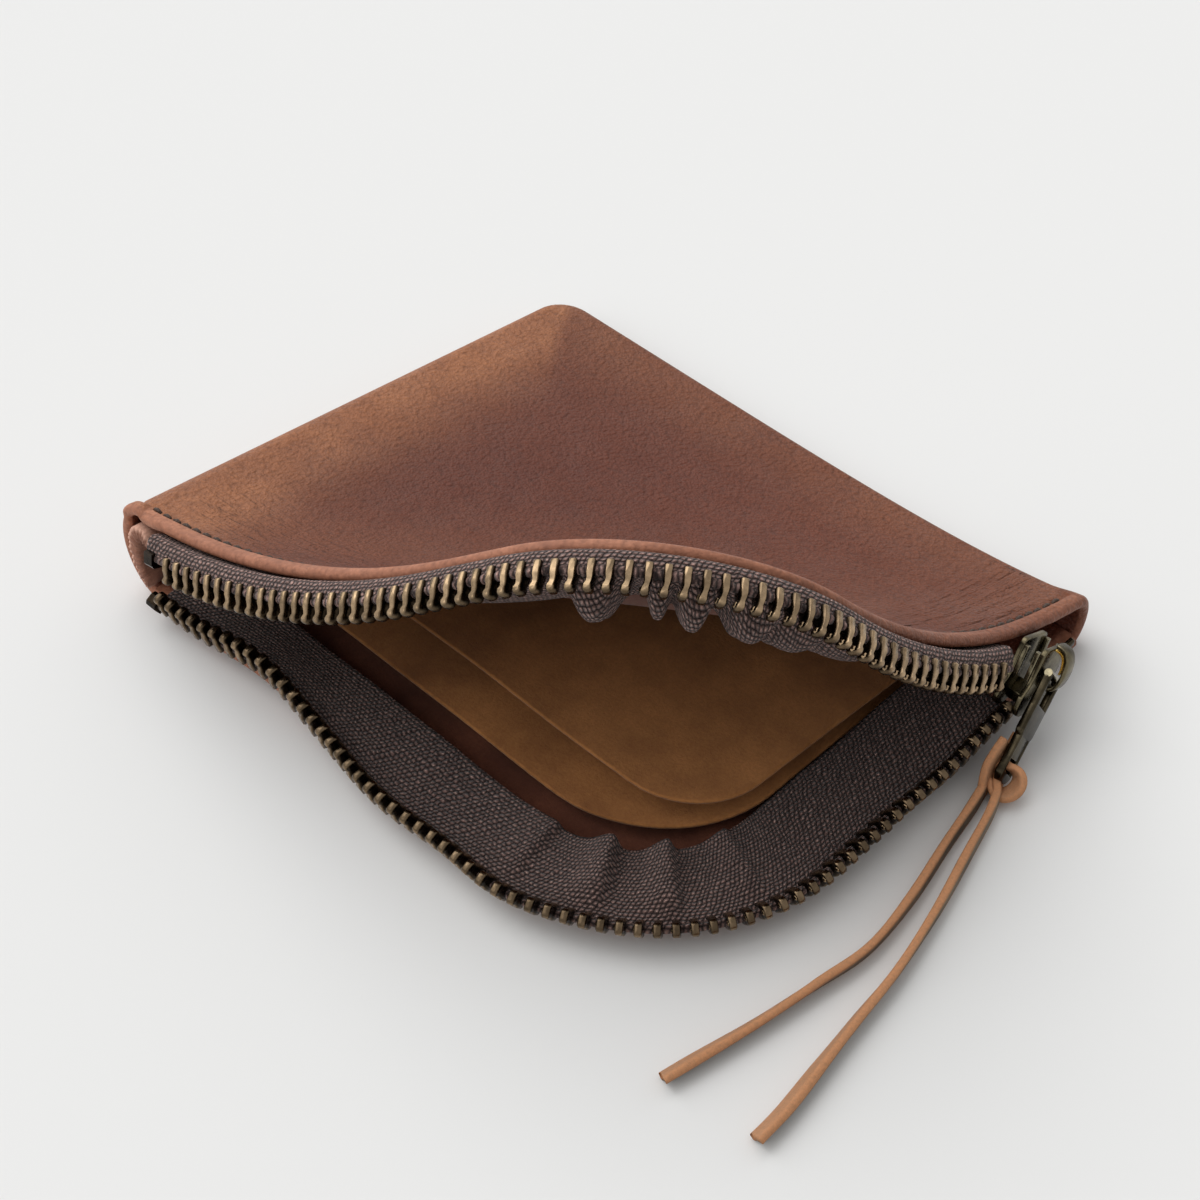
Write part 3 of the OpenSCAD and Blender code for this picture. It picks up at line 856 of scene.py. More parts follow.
    def skin_z(self, x: Array, y: Array) -> Array:
        """Height of the fixed front panel between the fold and the bending line.

        Args:
            x: Distance from the folded side.
            y: Distance from the front mouth.

        Returns:
            Heights over the table.
        """
        y = np.clip(y, 0.0, self.depth)
        hx, hz = self.hinge(y)
        a, b = self.hinge(np.array(0.0))[0], self.hinge(np.array(self.depth))[0]
        y1 = self.depth * (self.width - a) / (b - a)
        z1 = self.hinge(np.array(y1))[1]
        hz = np.where(y < y1, hz, z1 + (self.seam_h - z1) * (y - y1) / (self.depth - y1))
        c = self.fold_c(y)
        u = np.clip((x - c) / (np.minimum(self.width, hx) - c), 0.0, 1.1)
        top = self.fold_top(y)
        near, more = self.skin_curve
        return top + (hz - top) * u ** (near + more * y / self.depth)

    def lay(self, t: Array, d: Array) -> Array:
        """Points of the whole front panel over points of its flat plan.

        Args:
            t: Distance along the bend.
            d: Distance across the bend.

        Returns:
            Points in millimetres.
        """
        p = self.bent(t, np.maximum(d, self.hinge_in))
        back = np.minimum(d - self.hinge_in, 0.0)
        p[..., :2] += back[..., None] * self.bend_side
        fixed = self.skin_z(p[..., 0], p[..., 1])
        p[..., 2] = np.where(d < self.hinge_in, fixed, p[..., 2])
        return p

    def flap_at(self, p: Array, h: object) -> Array:
        """Points of the bent flap over points of the flat plan."""
        return self.bent(self.along(p), self.across(p), h)

    def mouth_at(self, s: Array, inset: float) -> Array:
        """Points along the leather's mouth edge on the flat plan.

        Args:
            s: Distance along the edge from the folded corner.
            inset: Distance inside the edge.

        Returns:
            Points of the plan.
        """
        s = np.asarray(s, float)
        a, b = self.width - self.corner_r, self.corner_r * math.pi / 2
        f = np.clip((s - a) / self.corner_r, 0.0, math.pi / 2)
        r = self.corner_r - inset
        return np.stack([np.minimum(s, a) + r * np.sin(f),
                         self.corner_r - r * np.cos(f) + np.maximum(s - a - b, 0.0)], -1)

    def edge_gap(self, p: Array) -> Array:
        """Distance of points of the flat plan inside the mouth edge."""
        return corner_gap(p[..., 1], self.width - p[..., 0], self.corner_r)

    def crest_gap(self, p: Array) -> Array:
        """Distance of points of the plan inside the crest of the fold and the back seam."""
        x, y = p[..., 0], p[..., 1]
        return corner_gap(x - self.fold_c(y), self.depth - self.seam_out - y, self.far_r)

    def crest_out(self, p: Array) -> Array:
        """Outward direction at points of the crest on the plan."""
        steps = ([NUDGE, 0.0], [0.0, NUDGE])
        return -unit(np.stack([self.crest_gap(p + d) - self.crest_gap(p - np.array(d)) for d in steps], -1))

    @property
    def front_len(self) -> float:
        """Length of the zip's straight front run."""
        return self.width - self.corner_r - self.chain_x0

    @property
    def arc_r(self) -> float:
        """Radius of the zip round the corner."""
        return self.corner_r + self.chain_out

    @property
    def zip_len(self) -> float:
        """Length of a zip row up to the slider."""
        return self.front_len + self.arc_r * math.pi / 2 + self.slider_y - self.slider_back - self.corner_r

    def zip_turn(self, s: Array) -> Array:
        """Heading of the zip along its length."""
        return np.clip((np.asarray(s, float) - self.front_len) / self.arc_r, 0.0, math.pi / 2)

    def zip_at(self, s: Array, outset: object) -> Array:
        """Points along the zip on the flat plan.

        Args:
            s: Distance along the zip.
            outset: Distance outside the leather's edge.

        Returns:
            Points of the plan.
        """
        s, outset = np.broadcast_arrays(np.asarray(s, float), np.asarray(outset, float))
        f = self.zip_turn(s)
        back = np.maximum(s - self.front_len - self.arc_r * math.pi / 2, 0.0)
        r = self.corner_r + outset
        return np.stack([self.chain_x0 + np.minimum(s, self.front_len) + r * np.sin(f),
                         self.corner_r - r * np.cos(f) + back], -1)

    def sway(self, s: Array, gap: Array) -> tuple[Array, Array]:
        """Waves of the lower side's free edge along the front.

        Args:
            s: Distance along the zip.
            gap: Distance inside the leather's edge.

        Returns:
            Shift outwards and lift of the edge.
        """
        fade = fall(gap, *self.wave_fade)
        out = sum(high * bell(s, middle, wide) for high, middle, wide in self.out_waves)
        high, middle, wide = self.lift_wave
        return out * fade, high * bell(s, middle, wide) * fade

    def bend_with_flap(self, piece: Piece) -> None:
        """Bake a piece's placement into its mesh; the axis and middle of its bend between the pouch and the
        flap are worked out but not used.

        Args:
            piece: The piece.
        """
        rise = np.array([*(self.bend_drop * self.bend_dir), 1.0])
        axis = np.array([*self.bend_side, 0.0]) + self.blend_tilt * rise
        axis = axis / (axis @ axis)
        middle = self.bent(self.blend_at, self.hinge_in)
        before, after = self.blend_reach
        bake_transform(piece)


def ripple(s: Array, w: Array, seed: int) -> Array:
    """Smooth uneven waves across a strip.

    Args:
        s: Distance along the strip in millimetres.
        w: Distance across the strip in millimetres.
        seed: Seed of the waves.

    Returns:
        Heights from about -1 to 1.
    """
    draw = np.random.default_rng(seed)
    total = np.zeros(np.broadcast(s, w).shape)
    for length in (2.2, 3.1, 4.3):
        wander = 1.1 * np.sin(s / draw.uniform(7.0, 13.0) + draw.uniform(0, 6.3))
        total = total + np.sin(6.283 * w / length + wander + draw.uniform(0, 6.3))
    return total / 3.0


def painted_lip_shade(place: Array) -> Array:
    """Lightness of the lip along the mouth: painted shade that darkens the lip towards the slider."""
    return 1.0 - 0.5 * smooth(place, 95.0, 160.0)


def roll_lip(body: Surface, edge: Array, normal: Array, radius: Array, outer: Array, inner: Array,
             place: Array, wear: Array, flip: bool = False) -> None:
    """Rounded lip that joins the outer and inner surfaces of leather along its edge.

    Args:
        body: Mesh under construction.
        edge: Points of the outer surface's edge, in order.
        normal: Outward normals there.
        radius: Radius of the lip at each point.
        outer: Numbers of the outer edge's points.
        inner: Numbers of the inner edge's points.
        place: Distance along the mouth of each point.
        wear: Wear of each point.
        flip: Whether the outside is the underside.
    """
    run = unit(np.gradient(edge, axis=0))
    out = unit(np.cross(run, normal)) * (-1.0 if flip else 1.0)
    rows = [outer]
    lay = np.stack([place, np.full_like(place, 0.5), np.zeros_like(place)], -1)
    # Painted shade: the lip's lighter tone fades towards the slider.
    tone = painted_lip_shade(place)
    for i in range(1, LIP_STEPS):
        f = math.pi / 2 - math.pi * i / LIP_STEPS
        p = edge + radius[:, None] * (math.cos(f) * out + (math.sin(f) - 1.0) * normal)
        rows.append(body.add(p, lip=tone, wear=wear, lay=lay))
    rows.append(inner)
    table = np.stack(rows)
    body.quads(table)
    body.face(table[:, 0].tolist())
    body.face(table[:, -1].tolist())


@dataclass
class FrontLeather:
    """Folded side, front panel and lifted flap, one skin with a rolled lip and a turned hem."""

    form: PouchForm
    finishes: Finishes
    sections: int = 250
    rows: int = 104
    edge_rows: int = 36
    relax_rounds: int = 260
    starts_in: tuple = (-6.0, 30.0)
    ends_in: tuple = (150.0, 200.0)
    full_end: tuple = (183.0, 189.0)
    fuller: float = 1.3
    fuller_inside: float = 1.9
    crease_left: tuple = (8.0, 16.0, 46.0, 64.0)
    crease_right: tuple = (128.0, 142.0, 172.0, 184.0)
    crease_band: tuple = (3.4, 5.0, 9.0, 22.0)
    crease_h: float = 0.13
    groove: tuple = (0.35, 0.5)
    crown: tuple = (0.28, 1.9, 0.8)
    welt: tuple = (0.7, 2.4, 3.1)
    welt_groove: tuple = (0.3, 0.6)
    welt_turn: tuple = (136.0, 142.0)
    welt_end: float = 60.0
    crest_wear: tuple = (0.3, 0.85, 11.0)
    bend_wear: tuple = (0.16, 14.0, 14.0)

    def outside(self) -> tuple[Array, Array, Array]:
        """Outer surface of the skin.

        Returns:
            Points of each section from the lip to the table, the same points on the flat plan,
            and each section's place along the mouth.
        """
        form = self.form

        def over(s: Array, d: Optional[Array] = None) -> Array:
            """Place over the plan at a mouth point or at a distance across the bend."""
            m = form.mouth_at(s, form.lip_r)
            return form.lay(form.along(m), form.across(m) if d is None else d)[..., :2]

        def past(v: Array) -> Array:
            """Distance of a mouth point inside the crest."""
            return form.crest_gap(over(v))

        first = halve(*np.array(self.starts_in), lambda v: past(v) >= 0)[1]
        final = halve(*np.array(self.ends_in), lambda v: past(v) < 0)[0]
        s = np.linspace(float(first), float(final), self.sections + 1)
        m = form.mouth_at(s, form.lip_r)
        t, e = form.along(m), form.across(m)
        high = halve(np.full_like(s, form.far_across), e, lambda v: form.crest_gap(over(s, v)) > 0)[1]
        d = e[:, None] + (high - e)[:, None] * graded(self.rows, 0.26)[None]
        skin = form.lay(t[:, None], d)
        flat = form.flat_at(t[:, None], d)
        crest = skin[:, -1]
        out, _, half = self.side_half(crest, s, self.fuller)
        f = np.radians(90.0 + 180.0 * np.arange(1, self.edge_rows + 1) / self.edge_rows)
        side = np.empty((len(s), self.edge_rows, 3))
        side[..., :2] = crest[:, None, :2] - (half[:, None] * np.cos(f))[..., None] * out[:, None]
        side[..., 2] = crest[:, 2:3] / 2 * (1.0 + np.sin(f))
        grid = np.concatenate([skin, side], axis=1)
        plan = np.concatenate([flat, np.repeat(flat[:, -1:], self.edge_rows, axis=1)], axis=1)
        return grid, plan, s

    def side_half(self, crest: Array, s: Array, fuller: float) -> tuple[Array, Array, Array]:
        """Half width of the folded side and the seam under the crest.

        Args:
            crest: Points of the crest.
            s: Place of each along the mouth.
            fuller: Extra half width behind the slider.

        Returns:
            Outward directions on the plan, the fold's share and the half widths.
        """
        form = self.form
        out = form.crest_out(crest[:, :2])
        share = np.clip(-out[:, 0], 0.0, 1.0) ** 2
        half = form.fold_a(np.clip(crest[:, 1], 0, form.depth)) * share + form.seam_out * (1.0 - share)
        return out, share, half + fuller * smooth(s, *self.full_end)

    def relax(self, grid: Array) -> Array:
        """Even out the bend between the fixed panel and the flap.

        Args:
            grid: Points of the outer surface.

        Returns:
            The smoothed points.
        """
        row = np.arange(grid.shape[1])
        share = np.zeros(grid.shape[:2])
        share[1:-1] = 0.5 * smooth(row, 14, 34) * fall(row, self.rows - 4, self.rows + 1)
        for _ in range(self.relax_rounds):
            near = np.zeros_like(grid)
            near[1:-1, 1:-1] = (grid[:-2, 1:-1] + grid[2:, 1:-1] + grid[1:-1, :-2] + grid[1:-1, 2:]) / 4.0
            grid = grid + share[..., None] * np.where(share[..., None] > 0, near - grid, 0.0)
        return grid

    def creases(self, place: Array, gap: Array) -> Array:
        """Share of fine creases beside the mouth, near the fold and near the slider.

        Args:
            place: Distance along the mouth of each point.
            gap: Its distance from the mouth edge.

        Returns:
            Shares from 0 to 1.
        """
        near = plateau(place, *self.crease_left) + plateau(place, *self.crease_right)
        share = np.clip(near, 0.0, 1.0) * plateau(gap, *self.crease_band)
        share[:, self.rows:] = 0.0
        return share

    def relief(self, place: Array, gap: Array, crease: Array) -> Array:
        """Height of the creases, the sewn groove, the lip's crown and the welt at the folded end.

        Args:
            place: Distance along the mouth of each point.
            gap: Its distance from the mouth edge.
            crease: Its share of fine creases.

        Returns:
            Heights over the plain surface.
        """
        row = np.arange(gap.shape[1])
        on_skin = row <= self.rows
        near = place < self.welt_end
        turn = 90.0 + 180.0 * np.clip(row - self.rows, 0, None) / self.edge_rows
        over = ((turn > 90.0) * fall(turn, *self.welt_turn))[None]
        (deep, wide), (high, *crown) = self.groove, self.crown
        lift = self.crease_h * crease * ripple(place, gap, 5)
        lift = lift - deep * (bell(gap, SEW_IN, wide) * on_skin) + high * (bell(gap, *crown) * on_skin)
        (deep, wide), (high, *edge) = self.welt_groove, self.welt
        return lift + high * (fall(gap, *edge) * near) * over - deep * over * bell(gap, SEW_IN, wide) * near

    def rubbing(self, grid: Array, plan: Array, share: Array) -> Array:
        """Wear of the skin: along the crest, over the bend and at the two corners of the fold.

        Args:
            grid: Points of the surface.
            plan: The same points on the flat plan.
            share: Share of the fold in each section.

        Returns:
            Wear from 0 to 1.
        """
        form = self.form
        plain, more, wide = self.crest_wear
        inside = np.maximum(form.crest_gap(grid[..., :2]), 0.0)
        wear = (plain + more * share)[:, None] * bell(inside, 0.0, wide)
        high, *middle = self.bend_wear
        wear += high * bell(form.across(plan), *middle)
        for high, points, y, wide in ((0.2, grid, form.depth, 22.0), (0.3, plan, 8.0, 17.0)):
            wear += high * bell(np.hypot(points[..., 0] - 4.0, points[..., 1] - y), 0.0, wide)
        return np.clip(wear, 0.0, 1.0)

    def pinch(self, ids: Array) -> Array:
        """Point numbers with each end section of the skin drawn into one point.

        Args:
            ids: Point numbers of the skin, which are changed.

        Returns:
            The same numbers.
        """
        for k in (0, -1):
            ids[k, :self.rows + 1] = ids[k, 0]
        return ids

    def build(self) -> Piece:
        """Skin with its lip and hem.

        Returns:
            The finished piece.
        """
        form = self.form
        grid, plan, s = self.outside()
        grid = self.relax(grid)
        gap = form.edge_gap(plan)
        rows, last = self.rows, grid.shape[1] - 1
        work = Surface()
        ids = self.pinch(work.add(grid))
        work.quads(ids)
        normal = work.normals()[ids]
        place = np.repeat(s[:, None], last + 1, axis=1)
        crease = self.creases(place, gap)
        grid = grid + self.relief(place, gap, crease)[..., None] * normal
        _, share, half = self.side_half(grid[:, rows], s, self.fuller_inside)
        free = fall(np.arange(last + 1), rows - 10, rows)[None]
        thick = np.minimum(form.thick_at(gap, form.lip_t), 0.62 * half[:, None] + 30.0 * free)
        wear = self.rubbing(grid, plan, share)
        # Lighter lip near the edge, partly its own paler tone and partly painted light, with painted shade
        # towards the slider.
        lip = fall(gap, *LIP_EDGE) * painted_lip_shade(place)
        lip[:, rows + 1:] *= 0.5
        lay = strip(s, gap)

        body = Surface()
        outer = self.pinch(body.add(grid, wear=wear, lip=lip, crease=crease, lay=lay))
        inner = self.pinch(body.add(grid - thick[..., None] * normal, lay=lay, lip=0.4 * lip))
        body.quads(outer)
        body.quads(inner, flip=True, finish=(gap[:-1, :-1] > form.hem_w).astype(int))
        ring = [(0, j) for j in range(last, rows, -1)] + [(k, 0) for k in range(len(s))]
        ring += [(len(s) - 1, j) for j in range(rows + 1, last + 1)]
        a, b = np.array(ring).T
        roll_lip(body, grid[a, b], normal[a, b], thick[a, b] / 2.0, outer[a, b], inner[a, b], place[a, b],
                 (wear * 0.4)[a, b])
        body.quads(np.stack([outer[:, last], inner[:, last]]))
        piece = body.build("front_leather", (self.finishes.leather, self.finishes.flesh))
        form.bend_with_flap(piece)
        return dress(piece, Slot.LEATHER, "fold_skin", "front_flap")


@dataclass
class FoldHem:
    """Turned end of the leather inside the fold, a band with a rough cut face and a painted highlight along
    one of its edges.
    """

    form: PouchForm
    finish: Material
    near: float = 2.68
    far: float = 5.2
    front: float = -0.15
    back: float = 8.0
    rings: int = 72

    def build(self) -> Piece:
        """Band round the inside of the fold, riding on the pouch.

        Returns:
            The finished piece.
        """
        form = self.form
        f = np.radians(np.linspace(48.0, 262.0, self.rings))
        rough = 0.16 * np.sin(np.arange(self.rings) * 1.9) + 0.12 * np.sin(np.arange(self.rings) * 0.7)
        side = ((0.0, self.back), (0.0, 2.0), (0.0, self.front + 0.5), (0.25, self.front + 0.1),
                (0.9, self.front))
        cut = [(self.near + inset, y) for inset, y in side]
        cut += [(self.far - inset, y) for inset, y in side[::-1]]
        rings = np.empty((self.rings, len(cut), 3))
        for k, (inset, y) in enumerate(cut):
            yy = np.full(self.rings, y) + (rough if y < 1.2 else 0.0)
            a, h = form.fold_a(yy), form.fold_top(yy) / 2
            rings[:, k, 0] = form.fold_c(yy) + (a - inset) * np.cos(f)
            rings[:, k, 1] = yy
            rings[:, k, 2] = h + (h - inset) * np.sin(f)
        # Painted highlight on the rounded edge of the cut face, on the near side only.
        rim_highlight = np.zeros(rings.shape[:2])
        rim_highlight[:, 2:4] = 0.9
        body = Surface()
        body.ring_loft(rings, cut=rim_highlight)
        piece = body.build("fold_hem", (self.finish,))
        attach(piece, Body.POUCH.value)
        return dress(piece, Slot.LEATHER)


@dataclass
class BackLeather:
    """Back panel on the table, with its rolled lip, turned hem and sewn groove."""

    form: PouchForm
    finishes: Finishes
    sections: int = 220
    rows: int = 44
    mouth_end: float = 192.2
    over_table: float = 0.02
    groove: tuple = (0.34, 0.55)

    def build(self) -> Piece:
        """Panel with its lip, riding on the pouch.

        Returns:
            The finished piece.
        """
        form = self.form
        s = np.linspace(form.fold_w - form.fold_out, self.mouth_end - form.seam_out, self.sections + 1)
        m = form.mouth_at(s, form.lip_r)
        t, e = form.along(m), form.across(m)
        high = halve(np.full_like(s, form.far_across), e, lambda v: form.crest_gap(form.flat_at(t, v)) > 0)[1]
        d = e[:, None] + (high - e)[:, None] * graded(self.rows, 0.13)[None]
        plan = form.flat_at(t[:, None], d)
        gap = form.edge_gap(plan)
        deep, wide = self.groove
        out, lift = form.sway(s[:, None] - form.chain_x0, gap)
        plan = plan - out[..., None] * [0.0, 1.0]
        under = raised(plan, self.over_table + deep * bell(gap, SEW_IN, wide) + lift)
        thick = form.thick_at(gap, 2.0 * form.lip_r)
        wave = 0.1 * np.sin(plan[..., 0] / 9.0 + 1.0) * np.sin(plan[..., 1] / 11.0)
        over = raised(plan, thick + lift + wave * smooth(gap, form.hem_w, 20.0))
        lay = strip(s, gap)
        # Lighter lip near the edge, partly its own paler tone and partly painted light.
        lip = fall(gap, *LIP_EDGE)
        body = Surface()
        low_ids = body.add(under, wear=0.25 * bell(gap, 0.0, 8.0), lip=lip, lay=lay)
        top_ids = body.add(over, lip=lip, lay=lay)
        body.quads(low_ids)
        body.quads(top_ids, flip=True, finish=(gap[:-1, :-1] > form.hem_w).astype(int))
        down = np.repeat(-UP[None], len(s), axis=0)
        roll_lip(body, under[:, 0], down, thick[:, 0] / 2.0, low_ids[:, 0], top_ids[:, 0], s,
                 np.full(len(s), 0.3), flip=True)
        body.quads(np.stack([low_ids[:, -1], top_ids[:, -1]]), flip=True)
        for k, turn in ((0, True), (-1, False)):
            body.quads(np.stack([low_ids[k], top_ids[k]]), flip=turn)
        piece = body.build("back_leather", (self.finishes.leather, self.finishes.flesh))
        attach(piece, Body.POUCH.value)
        return dress(piece, Slot.LEATHER, "back_panel")


@dataclass
class Divider:
    """Suede divider sewn into the fold and the back seam, with a rounded free corner."""

    form: PouchForm
    finish: Material
    name: str
    front: float
    back_z: float
    front_z: float
    thick: float = 0.7
    free_side: float = 13.0
    free_r: float = 13.0
    columns: int = 90
    rows: int = 110

    def build(self) -> Piece:
        """Divider laid from the seam up to its front edge.

        Returns:
            The finished piece.
        """
        form = self.form
        back = form.depth - form.leather - 0.3
        right = form.width - self.free_side
        y = self.front + (back - self.front) * graded(self.rows, 0.35)
        inside = np.clip(self.free_r - (y - self.front), 0.0, self.free_r)
        x1 = right - self.free_r + np.sqrt(np.maximum(self.free_r ** 2 - inside ** 2, 0.0))
        x0 = form.fold_c(y) + 0.5
        u = np.linspace(0.0, 1.0, self.columns + 1)
        u = 0.5 * u + 0.5 * (1.0 - (1.0 - u) ** 2)
        x = x0[:, None] + (x1 - x0)[:, None] * u[None]
        yy = np.repeat(y[:, None], self.columns + 1, axis=1)
        part = (back - yy) / (back - self.front)
        z = self.back_z + (self.front_z - self.back_z) * (back - yy) / (back - self.front)
        z = z + part * (0.16 * np.sin(x / 8.0 + self.front) + 0.1 * np.sin(x / 4.7 + yy / 9.0))
        low = np.stack([x, yy, z], -1)
        high = low + self.thick * UP
        body = Surface()
        a, b = body.add(low), body.add(high)
        body.quads(a)
        body.quads(b, flip=True)
        ring = [(0, j) for j in range(self.columns + 1)]
        ring += [(k, self.columns) for k in range(1, self.rows + 1)]
        ring += [(self.rows, j) for j in range(self.columns - 1, -1, -1)]
        ring += [(k, 0) for k in range(self.rows - 1, -1, -1)]
        k, j = np.array(ring).T
        line = low[k, j]
        out = unit(np.cross(unit(np.gradient(line, axis=0)), UP))
        rough = 0.1 + 0.04 * np.sin(np.arange(len(ring)) * 1.7)
        middle = body.add(line + rough[:, None] * out + self.thick / 2 * UP)
        middle[-1] = middle[0]
        body.quads(np.stack([a[k, j], middle, b[k, j]]))
        piece = body.build(self.name + "_sheet", (self.finish,))
        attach(piece, Body.POUCH.value)
        return dress(piece, Slot.SUEDE, self.name)


@dataclass
class ZipTapes:
    """Lower tape on the hem and upper tape under the flap, each with a corded edge."""

    form: PouchForm
    finish: Material
    thick: float = 0.6
    bead_r: float = 0.65
    lower_in: float = 12.0
    upper_in: float = 9.0
    upper_from: float = 7.6
    upper_flat: tuple = (19, 2.5)
    upper_out: float = 1.0
    upper_drop: float = 1.5
    upper_more: float = 4.5
    edge_w: float = 1.7
    lower_more: float = 5.4
    roll_deg: tuple = ((0.0, 70.0), (20.0, 80.0), (45.0, 76.0), (85.0, 54.0), (110.0, 50.0), (140.0, 54.0),
                       (160.0, 74.0))
    seat: float = 2.6
    rings: int = 300
    bead_steps: int = 11
    end_out: tuple = (1.3, 138.0, 160.0)
    end_lift: tuple = (1.6, 152.0, 168.0)
    end_dip: tuple = (0.9, 27.0, 10.0)
    inner_more: tuple = ((0.0, -1.6), (70.0, -1.6), (100.0, -0.9), (130.0, 0.4))
    # Painted light: height, middle and width of a paler band of yarn round the corner of the lower tape.
    bright: tuple = (0.8, 100.0, 24.0)
    fold_slopes: tuple = (4.6, 1.3)
    lower_folds: tuple = ((78.0, 1.2), (92.6, 3.1), (105.0, 2.9), (119.0, 1.3))
    upper_lumps: tuple = ((87.6, 4.2, 5.0), (100.2, 2.3, 4.4), (107.0, 3.2, 5.3), (119.0, 4.5, 4.6),
                          (129.0, 6.0, 3.6), (141.0, 7.0, 2.4))
    upper_edge: tuple = ((-1.3, 2.42), (-0.6, 2.32), (0.0, 2.22), (0.45, 2.2), (0.85, 2.45), (1.1, 3.0),
                         (1.2, 3.6), (1.15, 4.3))

    def roll_at(self, s: Array) -> Array:
        """Angle by which the lower corded edge turns up along the zip."""
        places, angles = np.array(self.roll_deg).T
        return np.radians(np.interp(s, places, angles))

    def lower_at(self, s: Array, o: Array, z: Array) -> Array:
        """Points of the lower tape's section, carried along by the edge's waves.

        Args:
            s: Distance along the zip.
            o: Distance outside the leather's edge.
            z: Height.

        Returns:
            Points in millimetres.
        """
        s, o, z = np.broadcast_arrays(np.asarray(s, float), o, z)
        out, lift = self.form.sway(s, -o)
        near = fall(-o, 0.0, 8.0)
        (far, *ends), (dip, *middle), (up, *rise) = self.end_out, self.end_dip, self.end_lift
        out = out + near * (far * smooth(s, *ends) - dip * bell(s, *middle))
        lift = lift + near * up * smooth(s, *rise)
        return raised(self.form.zip_at(s, o + out), z + lift)

    def lower_inner(self, s: Array) -> Array:
        """Distance of the lower tape's free edge inside the leather's edge."""
        places, more = np.array(self.inner_more).T
        return np.interp(s, places, self.lower_in + more)

    def lower_edge(self, s: Array) -> tuple[Array, Array]:
        """Outset and height of the lower corded edge.

        Args:
            s: Distance along the zip.

        Returns:
            The outset and the height.
        """
        f = self.roll_at(s)
        middle = self.seat + self.thick / 2
        return (self.form.chain_out - self.edge_w + self.edge_w * np.cos(f),
                middle + self.edge_w * np.sin(f))

    def upper_depth(self) -> float:
        """Depth of the upper corded edge under the flap's outside."""
        return self.seat + 0.3 + self.thick + self.upper_drop

    def ring(self, middle: Array) -> Array:
        """Closed section of tape round its middle line, with the corded edge at the end.

        Args:
            middle: Middle line in the section's two directions.

        Returns:
            Points of the closed section.
        """
        run = unit(np.gradient(middle, axis=1))
        normal = np.stack([-run[..., 1], run[..., 0]], -1)
        half = self.thick / 2
        end, across = middle[:, -1], normal[:, -1]
        ahead = np.stack([across[:, 1], -across[:, 0]], -1)
        arc = np.radians(np.linspace(150.0, -150.0, self.bead_steps))
        bead = end[:, None] + self.bead_r * (np.cos(arc)[None, :, None] * ahead[:, None]
                                             + np.sin(arc)[None, :, None] * across[:, None])
        top, low = middle + half * normal, middle - half * normal
        return np.concatenate([top[:, :-1], bead, low[:, -2::-1]], axis=1)

    def lower(self) -> Piece:
        """Lower tape, puckered along its free edge round the corner.

        Returns:
            The finished piece.
        """
        form = self.form
        s = np.linspace(2.0, form.zip_len + self.lower_more, self.rings)
        f = self.roll_at(s)
        turn = np.linspace(0.25, 1.0, 4)
        root = form.chain_out - self.edge_w
        inner = self.lower_inner(s)
        flat = -inner[:, None] + (inner + root)[:, None] * np.linspace(0.0, 1.0, 22)
        bend, whole = f[:, None] * turn, np.maximum(f[:, None], 1e-3)
        o = np.concatenate([flat, root + self.edge_w * np.sin(bend) / whole], 1)
        z0 = self.seat + self.thick / 2 + 0.05
        z = np.concatenate([np.full(flat.shape, z0), z0 + self.edge_w * (1.0 - np.cos(bend)) / whole], 1)
        want_o, want_z = self.lower_edge(s)
        o[:, -4:] += (want_o - o[:, -1])[:, None] * turn
        z[:, -4:] += (want_z - z[:, -1])[:, None] * turn
        z = z + self.pucker(s[:, None], o)
        section = self.ring(np.stack([o, z], -1))
        points = self.lower_at(s[:, None], section[..., 0], section[..., 1])
        lay = strip(s, section[..., 0])
        high, *middle = self.bright
        body = Surface()
        # Painted light: the tape's yarn is paler round the corner.
        body.ring_loft(points, lay=lay, worn=high * bell(lay[..., 0], *middle))
        piece = body.build("tape_lower_weave", (self.finish,))
        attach(piece, Body.POUCH.value)
        return dress(piece, Slot.TAPE, "tape_lower")

    def pucker(self, s: Array, o: Array) -> Array:
        """Height of the folds in the lower tape, each steep on the side of the slider.

        Args:
            s: Distance along the zip.
            o: Distance outside the leather's edge.

        Returns:
            Heights over the flat tape.
        """
        free = smooth(-o, -1.5, self.lower_in)
        folds = np.zeros_like(s)
        for place, high in self.lower_folds:
            gone = s - place
            folds = folds + high * bell(gone, 0.0, np.where(gone < 0, *self.fold_slopes))
        slow = np.sin(s / 6.4 + 0.4) + 0.5 * np.sin(s / 2.7) + 1.3
        return free * (0.8 + 0.2 * slow) + smooth(-o, -0.6, 4.0) * (0.5 + 0.5 * free) * folds

    def upper(self) -> Piece:
        """Upper tape, sewn under the flap's hem, gathered inside it and bent down outside the leather.

        Returns:
            The finished piece.
        """
        form = self.form
        s = np.linspace(self.upper_from - form.chain_x0, form.zip_len + self.upper_more, self.rings)
        edge_o, edge_h = np.array(self.upper_edge).T
        count, deep = self.upper_flat
        o = np.array([*np.linspace(-self.upper_in - 3.0, -2.0, count), *edge_o, self.upper_out])
        h = np.array([*np.full(count, deep), *edge_h, self.upper_depth()])
        h = np.repeat(h[None], len(s), 0) + self.gather(s[:, None], o[None])
        middle = np.stack([np.repeat(o[None], len(s), 0), -h], -1)
        section = self.ring(middle)
        points = form.flap_at(form.zip_at(s[:, None], section[..., 0]), section[..., 1])
        length = np.cumsum(np.linalg.norm(np.diff(middle[0], axis=0, prepend=middle[0, :1]), axis=1))
        width = np.concatenate([length[:-1], np.full(self.bead_steps, length[-1]), length[-2::-1]])
        body = Surface()
        body.ring_loft(points, lay=strip(s, width), worn=1.0)
        piece = body.build("tape_upper_weave", (self.finish,))
        form.bend_with_flap(piece)
        return dress(piece, Slot.TAPE, "tape_upper")

